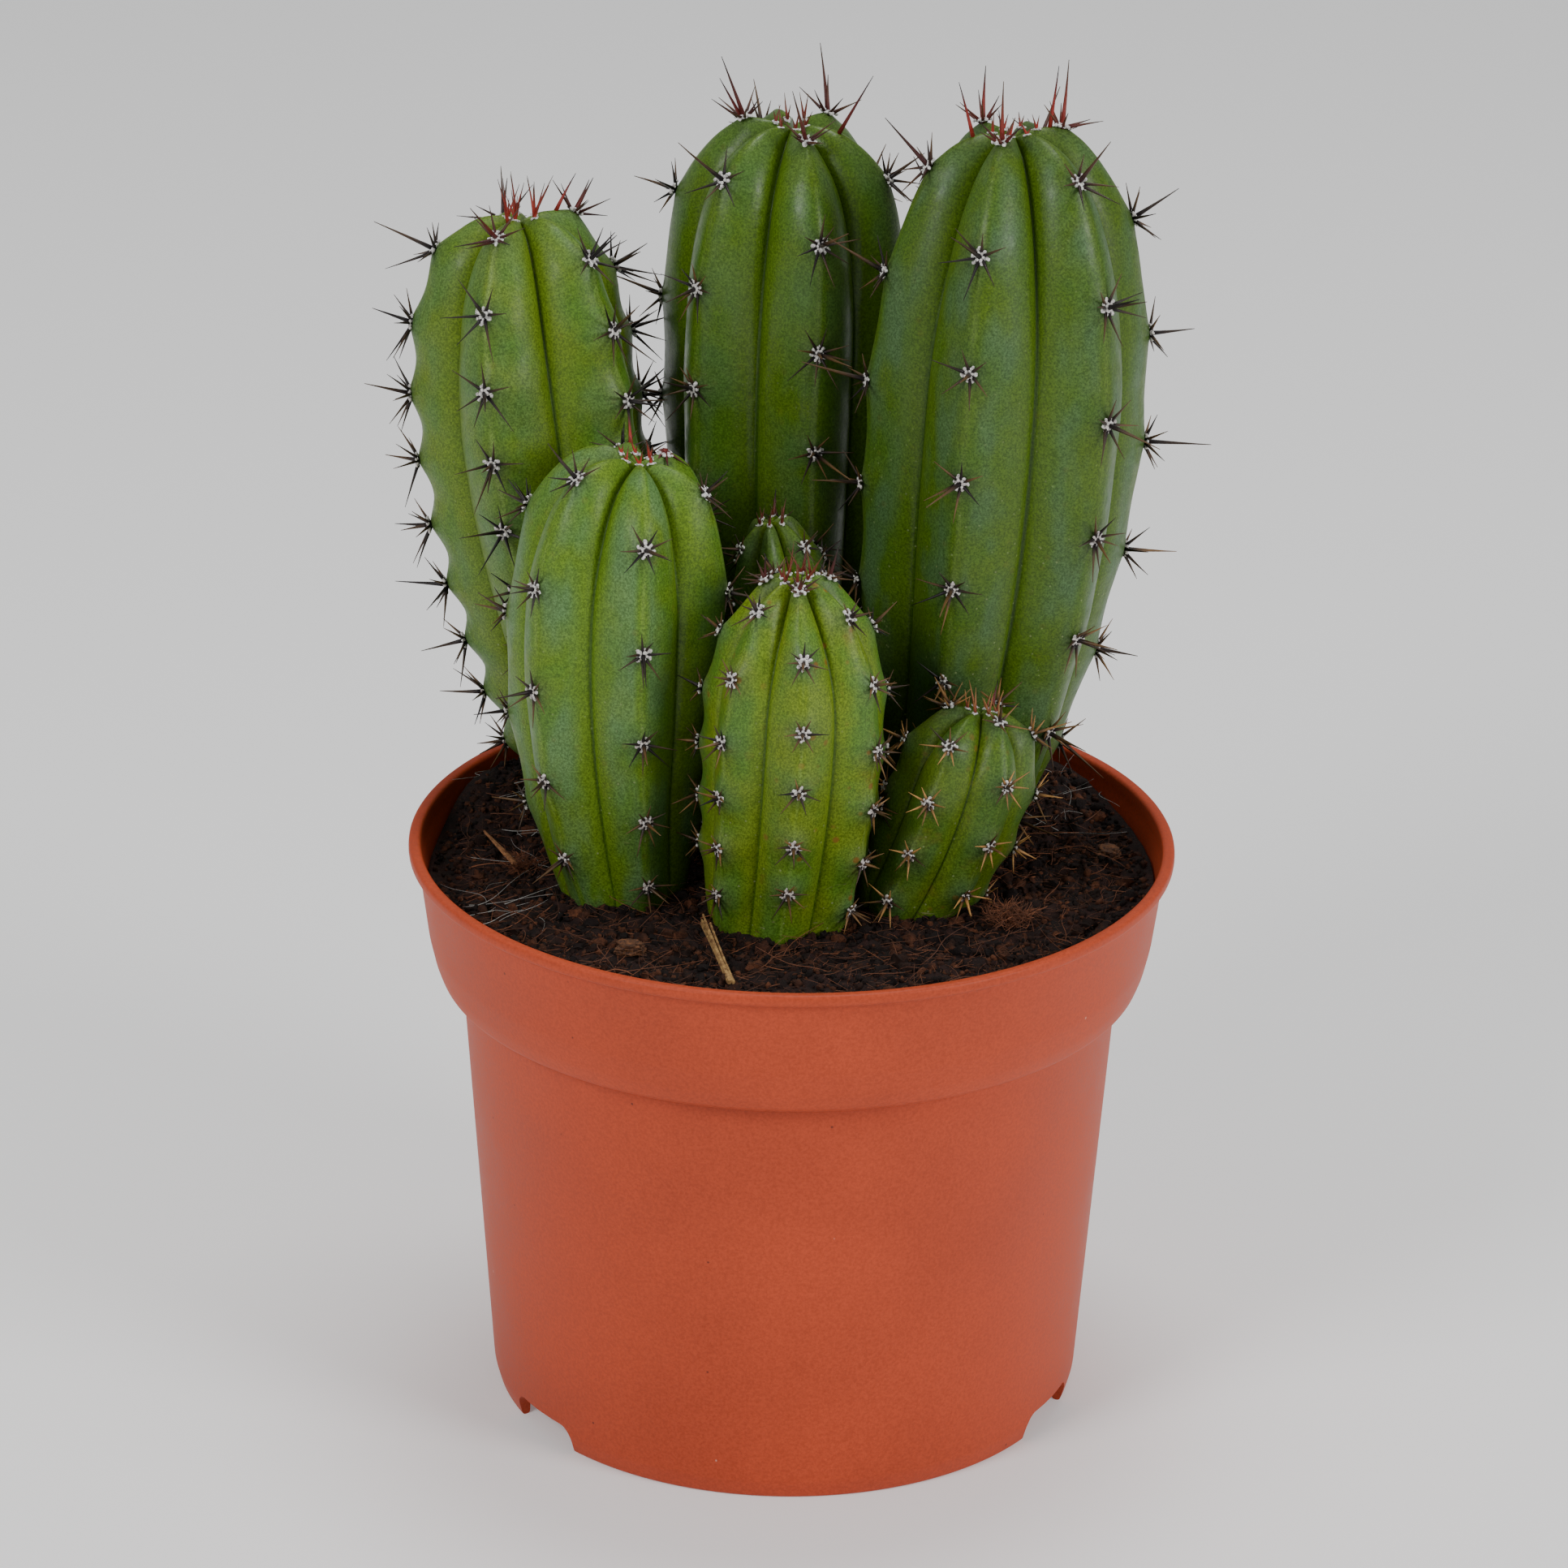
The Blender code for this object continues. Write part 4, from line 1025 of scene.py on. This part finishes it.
class CACTUS_OT_spines(bpy.types.Operator):
    """Model the spines: a star of radial ones and one or two longer central ones on each areole"""

    bl_idname = "cactus.spines"
    bl_label = "Spines"

    def execute(self, context):
        self.settings = context.scene.cactus.spine
        finish = spine_finish(self.settings)
        graph = context.evaluated_depsgraph_get()
        walls = [bpy.data.objects[name] for name in ("pot_shell", *(f"{stem.name}_skin" for stem in STEMS))]
        self.walls = [BVHTree.FromObject(wall, graph) for wall in walls]
        for stem in STEMS:
            self.dice = random.Random(SEED * 7 + STEMS.index(stem))
            self.needles = Gathering(thread_template(5, 4))
            for areole in shape_of(stem).areoles:
                if areole.infant:
                    self.add_infant(stem, areole)
                else:
                    self.add_star(stem, areole)
            for rib, height, length, lean in stem.crown_spines:
                self.add_tall(stem, rib, height, length * MM, math.radians(lean))
            self.needles.finish(f"{stem.name}_spines", finish, "spine")
        return {"FINISHED"}

    def add_infant(self, stem, areole):
        """A few short red spines, standing nearly upright round the apex."""
        for angle in areole.angles:
            tilt = math.radians(self.dice.uniform(6.0, 30.0))
            level = np.array((math.cos(angle), math.sin(angle), 0.0))
            upright = unit(np.array((0.0, 0.0, 1.0)) + 0.25 * areole.normal)
            way = upright * math.cos(tilt) + level * math.sin(tilt)
            length = stem.young_spines[0] * MM * self.dice.uniform(0.45, 1.05)
            tan = stem.spines[2] * 0.6
            self.add(areole.foot, way, length, self.settings.radius * 0.85, tan, stem.young_spines[1])

    def add_tall(self, stem, rib, height, length, lean):
        """One of the tallest spines of the crown, leaning away from the axis."""
        shape = shape_of(stem)
        foot, _, _ = shape.seat(float(np.interp(-height, -shape.fraction, shape.arc)), float(rib))
        out = unit((foot - shape.axis(height)) * np.array((1.0, 1.0, 0.0)))
        way = np.array((0.0, 0.0, math.cos(lean))) + out * math.sin(lean)
        self.add(foot, way, length, self.settings.radius * 1.15, 0.0, 0.8 * stem.young_spines[1])

    def add_star(self, stem, areole):
        """The radial spines of a grown areole, and its central ones."""
        dice = self.dice
        radial, central, tan = stem.spines
        share = areole.share
        crown = max(0.0, 1.0 - share / 0.13)
        red = crown * stem.young_spines[1]
        thick = self.settings.radius * (0.80 + 0.20 * stem.radius / 20.0)
        for angle in areole.angles:
            lower = 0.5 - 0.5 * math.cos(angle)
            tilt = math.radians(dice.uniform(50.0, 80.0) * (1.0 - 0.35 * crown))
            way = areole.normal * math.cos(tilt) + areole.flat(angle) * math.sin(tilt)
            length = radial * MM * dice.uniform(0.66, 1.12) * (0.84 + 0.26 * lower) * (1.0 - 0.12 * share)
            inset = 0.50 * self.settings.pad * (0.6 + 0.4 * stem.radius / 20.0)
            foot = areole.foot + areole.flat(angle) * inset
            self.add(foot, way, length, thick, tan * dice.uniform(0.0, 1.6) * (0.35 + share), 0.4 * red)
        for index in range(1 if dice.random() < 0.70 else 2):
            tilt = math.radians(dice.uniform(4.0, 30.0))
            flat = areole.side * dice.uniform(-1.0, 1.0) - areole.down * dice.uniform(-0.5, 1.0)
            way = areole.normal * math.cos(tilt) + unit(flat) * math.sin(tilt)
            length = central * MM * dice.uniform(0.66, 1.10) * (1.0 - 0.18 * share) * (1.0 - 0.3 * index)
            older = tan * dice.uniform(0.0, 1.5) * (0.35 + share)
            self.add(areole.foot, way, length, thick * 1.30, older, red)

    def add(self, foot, way, length, radius, tan, young):
        """One spine, kept short of any skin or pot wall that it would run into."""
        for wall in self.walls:
            _, _, _, away = wall.ray_cast(Vector(foot + way * 1.2 * MM), Vector(way), length)
            if away is not None:
                length = min(length, away + 0.9 * MM)
        if length < 1.0 * MM:
            return
        aside = np.array([self.dice.uniform(-1.0, 1.0) for _ in range(3)])
        self.needles.add_thread(foot - way * 0.4 * MM, way, aside, length + 0.4 * MM, (radius, radius * 0.12),
                                self.dice.uniform(-0.05, 0.05), tan=min(1.0, tan), young=young)


# ---- soil


def inside_a_stem(x, y, margin):
    for stem in STEMS:
        radius = stem.radius * MM * (stem.base_ratio + (1.0 - stem.base_ratio) * 0.2) * 0.86
        if math.hypot(x - stem.base[0] * MM, y - stem.base[1] * MM) < radius + margin:
            return True
    return False


def soil_spot(dice, reach, margin):
    """A random place on the soil's surface, clear of the stems."""
    while True:
        radius = reach * math.sqrt(dice.random())
        angle = dice.uniform(0.0, 2.0 * math.pi)
        x, y = radius * math.cos(angle), radius * math.sin(angle)
        if not inside_a_stem(x, y, margin):
            return x, y, soil_height(x, y) + soil_roughness(x, y)


class CACTUS_OT_soil(bpy.types.Operator):
    """Model the root ball with its crumbly top, the loose crumbs and the fibres"""

    bl_idname = "cactus.soil"
    bl_label = "Soil"

    around = 300
    rings = 132
    top_share = 0.82

    def execute(self, context):
        settings = context.scene.cactus.soil
        self.make_root_ball(settings)
        self.make_crumbs(settings)
        self.make_fibres(settings)
        return {"FINISHED"}

    def make_root_ball(self, settings):
        """A globe pulled into the soil's shape: its upper part is the rough top, the rest follows the pot."""
        stations = (0.0, 0.3, 0.6, 0.97, 1.0)
        levels = (SOIL_LEVEL, INNER_BEND, INNER_STEP, SOIL_LOW.z, SOIL_LOW.z)
        radii = (SOIL_EDGE, 54.1 * MM, 49.8 * MM, 44.8 * MM, 0.0)
        bm = bmesh.new()
        bmesh.ops.create_uvsphere(bm, u_segments=self.around, v_segments=self.rings, radius=1.0)
        for point in bm.verts:
            part = math.acos(max(-1.0, min(1.0, point.co.z))) / math.pi
            azimuth = math.atan2(point.co.y, point.co.x)
            if part <= self.top_share:
                radius = SOIL_EDGE * (part / self.top_share)
                x, y = radius * math.cos(azimuth), radius * math.sin(azimuth)
                fade = 1.0 - max(0.0, (radius / SOIL_EDGE - 0.97) / 0.03) * 0.8
                point.co = (x, y, soil_height(x, y) + soil_roughness(x, y) * fade)
                continue
            down = (part - self.top_share) / (1.0 - self.top_share)
            radius = np.interp(down, stations, radii)
            height = np.interp(down, stations, levels)
            point.co = (radius * math.cos(azimuth), radius * math.sin(azimuth), height)
        bmesh.ops.recalc_face_normals(bm, faces=bm.faces)
        finished("peat_bed", bm, peat_finish(settings), ("soil",))

    def make_crumbs(self, settings):
        finish = crumb_finish(settings)
        dice = random.Random(SEED + 400)
        for name, template, count, low, high in (
            ("peat_crumbs", crumb_template(1), settings.crumbs, 0.25, 0.80),
            ("peat_clods", crumb_template(2), settings.crumbs // 14, 0.7, 1.5),
        ):
            pile = Gathering(template)
            for _ in range(count):
                size = dice.uniform(low, high) * MM * dice.uniform(0.7, 1.1)
                x, y, z = soil_spot(dice, CRUMB_EDGE - size, size * 0.2)
                angle = dice.uniform(0.0, 6.28)
                turn = np.array(Matrix.Rotation(angle, 3, Vector((dice.random(), dice.random(), 0.3))))
                lumps = 1.0 + 0.28 * np.sin(pile.rest @ np.array((3.1, 5.2, 4.3)) + dice.uniform(0.0, 6.28))
                flat = np.array((1.0, dice.uniform(0.6, 1.0), dice.uniform(0.45, 0.85)))
                centre = np.array((x, y, z + size * dice.uniform(-0.1, 0.35)))
                shape = pile.rest * lumps[:, None] * flat
                pile.add(shape @ turn * size + centre, tone=dice.random() ** 3.0)
            pile.finish(name, finish, "peat", smooth_angle=60.0 if low > 0.5 else None)

    def make_fibres(self, settings):
        """Dark coir, longer roots, and pale root hairs in patches towards the wall."""
        dice = random.Random(SEED + 500)
        for name, count, reach, thickness, bright, pale in (
            ("coir_fibres", settings.fibres, (1.2, 4.5), (0.03, 0.08), 1.3, False),
            ("root_fibres", settings.fibres // 9, (4.0, 11.0), (0.05, 0.12), 1.6, False),
            ("root_hairs", settings.fibres // 60, (6.0, 15.0), (0.03, 0.055), 1.0, True),
        ):
            strands = Gathering(thread_template(3, 11 if pale else 6))
            for _ in range(count):
                length = dice.uniform(*reach) * MM
                x, y, z = soil_spot(dice, STRAND_EDGE, 1.0 * MM)
                if pale:
                    centre = dice.choice(HAIR_PATCHES)
                    x, y = (part + dice.gauss(0.0, 4.5) * MM for part in centre)
                    z = soil_height(x, y) + soil_roughness(x, y) + 0.4 * MM
                heading = dice.uniform(0.0, 2.0 * math.pi)
                way = np.array((math.cos(heading), math.sin(heading), dice.uniform(-0.05, 0.38)))
                if math.hypot(x + way[0] * length, y + way[1] * length) > STRAND_EDGE + 0.5 * MM:
                    way[:2] = -unit(np.array((x, y)))
                aside = np.array((-way[1], way[0], dice.uniform(-0.8, 0.1)))
                radius = dice.uniform(*thickness) * MM
                foot = np.array((x, y, z + 0.2 * MM))
                strands.add_thread(foot, way, aside, length, (radius, radius * 0.5), dice.uniform(-0.7, 0.7),
                                   dice.uniform(-0.12, 0.12), tone=dice.random() ** 1.6)
            strands.finish(name, fibre_finish(name, settings, bright, pale), "coir")


# ---- litter


class CACTUS_OT_litter(bpy.types.Operator):
    """Model the larger bits that lie on the soil: straw, a twig, coir and bark chips"""

    bl_idname = "cactus.litter"
    bl_label = "Litter"

    def execute(self, context):
        settings = context.scene.cactus.soil
        straw = dry_finish("dry_straw", (0.40, 0.24, 0.085), (0.13, 0.055, 0.018), 1.2 * MM)
        wood = dry_finish("dry_wood", (0.34, 0.150, 0.055), (0.12, 0.045, 0.016), 1.0 * MM)
        bark = dry_finish("bark", (0.170, 0.062, 0.018), (0.026, 0.009, 0.005), 0.5 * MM)
        self.make_stalk("straw_stalk", straw, 6)
        self.make_stalk("dry_twig", wood, 5)
        self.make_chip("bark_chip_front", bark)
        self.make_chip("bark_chip_right", bark)
        low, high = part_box("coir_tuft")
        centre = np.array(low + high) * 0.5
        self.make_tuft("coir_tangle", centre, np.array(high - low) * 0.5, 330, settings, ("coir_tuft",))
        x, y = KNOT_PLACE
        centre = np.array((x, y, soil_height(x, y) + KNOT_RADII[2]))
        self.make_tuft("coir_knot", centre, np.array(KNOT_RADII), 150, settings)
        return {"FINISHED"}

    def make_stalk(self, node, finish, count):
        """A few split slivers side by side, from the near right of the solid's box to its far left."""
        low, high = (np.array(corner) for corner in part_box(node))
        size = high - low
        inset = 0.14 * size[0]
        start = np.array((high[0] - inset, low[1], low[2] + 0.5 * MM))
        end = np.array((low[0] + inset, high[1], high[2] - 0.6 * MM))
        along = end - start
        dice = random.Random(SEED + len(node))
        slivers = Gathering(thread_template(5, 6))
        for _ in range(count):
            shift = np.array((dice.uniform(-0.4, 0.4), dice.uniform(-0.3, 0.3), dice.uniform(-0.2, 0.2))) * MM
            length = np.linalg.norm(along) * dice.uniform(0.80, 1.0)
            radius = dice.uniform(0.26, 0.42) * MM
            slivers.add_thread(start + shift, along, np.array((0.3, 0.4, 1.0)), length,
                               (radius, radius * 0.6), dice.uniform(-0.03, 0.03))
        slivers.finish(f"{node}_slivers", finish, "dry_stalk", (node,), 50.0)

    def make_chip(self, node, finish):
        """A flaky chip of bark: uneven slabs, one on another."""
        low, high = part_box(node)
        centre = np.array(low + high) * 0.5
        size = np.array(high - low) * 0.5
        noise.seed_set(SEED)  # the vector noise starts from the clock otherwise
        flakes = Gathering(slab_template(5))
        for layer in range(3):
            x, y, z = flakes.rest.T
            spread = 1.0 - 0.12 * layer
            deep = y * spread * (1.0 - 0.3 * np.abs(x))
            flat = np.stack([x * spread, deep, z * 0.30 + (layer - 1) * 0.52], axis=1)
            shift = Vector((layer * 4.0, len(node), 0.0))
            rough = [noise.noise_vector(Vector(point) * 1.6 + shift) for point in flakes.rest]
            flakes.add((flat + np.array(rough) * 0.42) * size + centre)
        flakes.finish(f"{node}_flakes", finish, "bark", (node,), 35.0)

    def make_tuft(self, name, centre, size, count, settings, replaces=()):
        """A tuft of coir: a tangle of short curved fibres."""
        dice = random.Random(SEED + 600)
        tangle = Gathering(thread_template(3, 5))
        for _ in range(count):
            heading = dice.uniform(0.0, 2.0 * math.pi)
            spot = np.array((math.cos(heading), math.sin(heading), 0.0)) * math.sqrt(dice.random()) * 0.8
            foot = centre + spot * size + np.array((0.0, 0.0, dice.uniform(-0.8, 0.5) * size[2]))
            way = np.array((dice.uniform(-1.0, 1.0), dice.uniform(-1.0, 1.0), dice.uniform(-0.2, 0.5)))
            aside = np.array((dice.uniform(-1.0, 1.0), dice.uniform(-1.0, 1.0), -0.5))
            radius = dice.uniform(0.035, 0.10) * MM
            tangle.add_thread(foot, way, aside, dice.uniform(1.2, 3.4) * MM, (radius, radius * 0.6),
                              dice.uniform(-0.8, 0.8), dice.uniform(-0.2, 0.2), tone=dice.uniform(0.0, 0.9))
        tangle.finish(name, fibre_finish(name, settings, 1.6), "coir", replaces)


# ---- stage


class CACTUS_OT_stage(bpy.types.Operator):
    """Set up the plain floor, the soft studio light and the camera"""

    bl_idname = "cactus.stage"
    bl_label = "Stage"

    def execute(self, context):
        settings = context.scene.cactus.stage
        self.make_floor(settings)
        self.make_lights(context.scene, settings)
        self.make_camera(context.scene, settings)
        return {"FINISHED"}

    def make_floor(self, settings):
        bm = bmesh.new()
        bmesh.ops.create_circle(bm, cap_ends=True, segments=96, radius=FLOOR_REACH)
        floor = placed("floor", mesh_of("floor", bm))
        make = Finish("studio_floor")
        floor.data.materials.append(make.wear(
            Base_Color=tuple(settings.floor), Roughness=0.9, Specular_IOR_Level=0.1,
            Emission_Color=tuple(settings.floor), Emission_Strength=FLOOR_GLOW))

    def make_lights(self, scene, settings):
        world = scene.world or bpy.data.worlds.new("studio")
        scene.world = world
        world.use_nodes = True
        sky = world.node_tree.nodes["Background"]
        sky.inputs["Color"].default_value = (1.0, 1.0, 1.0, 1.0)
        sky.inputs["Strength"].default_value = WORLD_LIGHT
        for name, place, size, share in LIGHTS:
            light = bpy.data.lights.new(name, "AREA")
            light.shape = "DISK"
            light.size = size
            light.energy = settings.key_power * share
            lamp = placed(name, light)
            lamp.location = place
            lamp.rotation_euler = (Vector(LIGHT_AIM) - Vector(place)).to_track_quat("-Z", "Y").to_euler()

    def make_camera(self, scene, settings):
        camera = placed("camera", bpy.data.cameras.new("camera"))
        camera.data.lens = settings.lens
        camera.data.sensor_width = SENSOR_WIDTH
        camera.data.clip_start = 0.05
        back = Vector((0.0, -math.cos(settings.elevation), math.sin(settings.elevation)))
        across = Vector((1.0, 0.0, 0.0))
        upward = back.cross(across)
        right = across * math.cos(settings.roll) + upward * math.sin(settings.roll)
        up = upward * math.cos(settings.roll) - across * math.sin(settings.roll)
        turn = Matrix((right, up, back)).transposed().to_4x4()
        place = Vector(CAMERA_AIM) + back * settings.distance
        camera.matrix_world = Matrix.Translation(place) @ turn
        scene.camera = camera


class CACTUS_PT_panel(bpy.types.Panel):
    """The pieces of the potted cactus and their settings"""

    bl_idname = "CACTUS_PT_panel"
    bl_label = "Potted cactus"
    bl_space_type = "VIEW_3D"
    bl_region_type = "UI"
    bl_category = "Cactus"

    def draw(self, context):
        settings = context.scene.cactus
        for group, operators in (
            (settings.pot, (CACTUS_OT_pot,)),
            (settings.soil, (CACTUS_OT_soil, CACTUS_OT_litter)),
            (settings.stem, (CACTUS_OT_stems,)),
            (settings.spine, (CACTUS_OT_areoles, CACTUS_OT_spines)),
            (settings.stage, (CACTUS_OT_stage,)),
        ):
            box = self.layout.box()
            for name in group.bl_rna.properties.keys():
                if name not in ("rna_type", "name"):
                    box.prop(group, name)
            for operator in operators:
                box.operator(operator.bl_idname)


CLASSES = (
    CACTUS_PG_pot, CACTUS_PG_soil, CACTUS_PG_stem, CACTUS_PG_spine, CACTUS_PG_stage, CACTUS_PG_settings,
    CACTUS_OT_pot, CACTUS_OT_stems, CACTUS_OT_areoles, CACTUS_OT_spines, CACTUS_OT_soil, CACTUS_OT_litter,
    CACTUS_OT_stage, CACTUS_PT_panel,
)


def register():
    for kind in CLASSES:
        bpy.utils.register_class(kind)
    bpy.types.Scene.cactus = PointerProperty(type=CACTUS_PG_settings)


def unregister():
    del bpy.types.Scene.cactus
    for kind in reversed(CLASSES):
        bpy.utils.unregister_class(kind)


def main():
    register()
    bpy.ops.cactus.pot()
    bpy.ops.cactus.stems()
    bpy.ops.cactus.areoles()
    bpy.ops.cactus.spines()
    bpy.ops.cactus.soil()
    bpy.ops.cactus.litter()
    bpy.ops.cactus.stage()


if __name__ == "__main__":
    main()
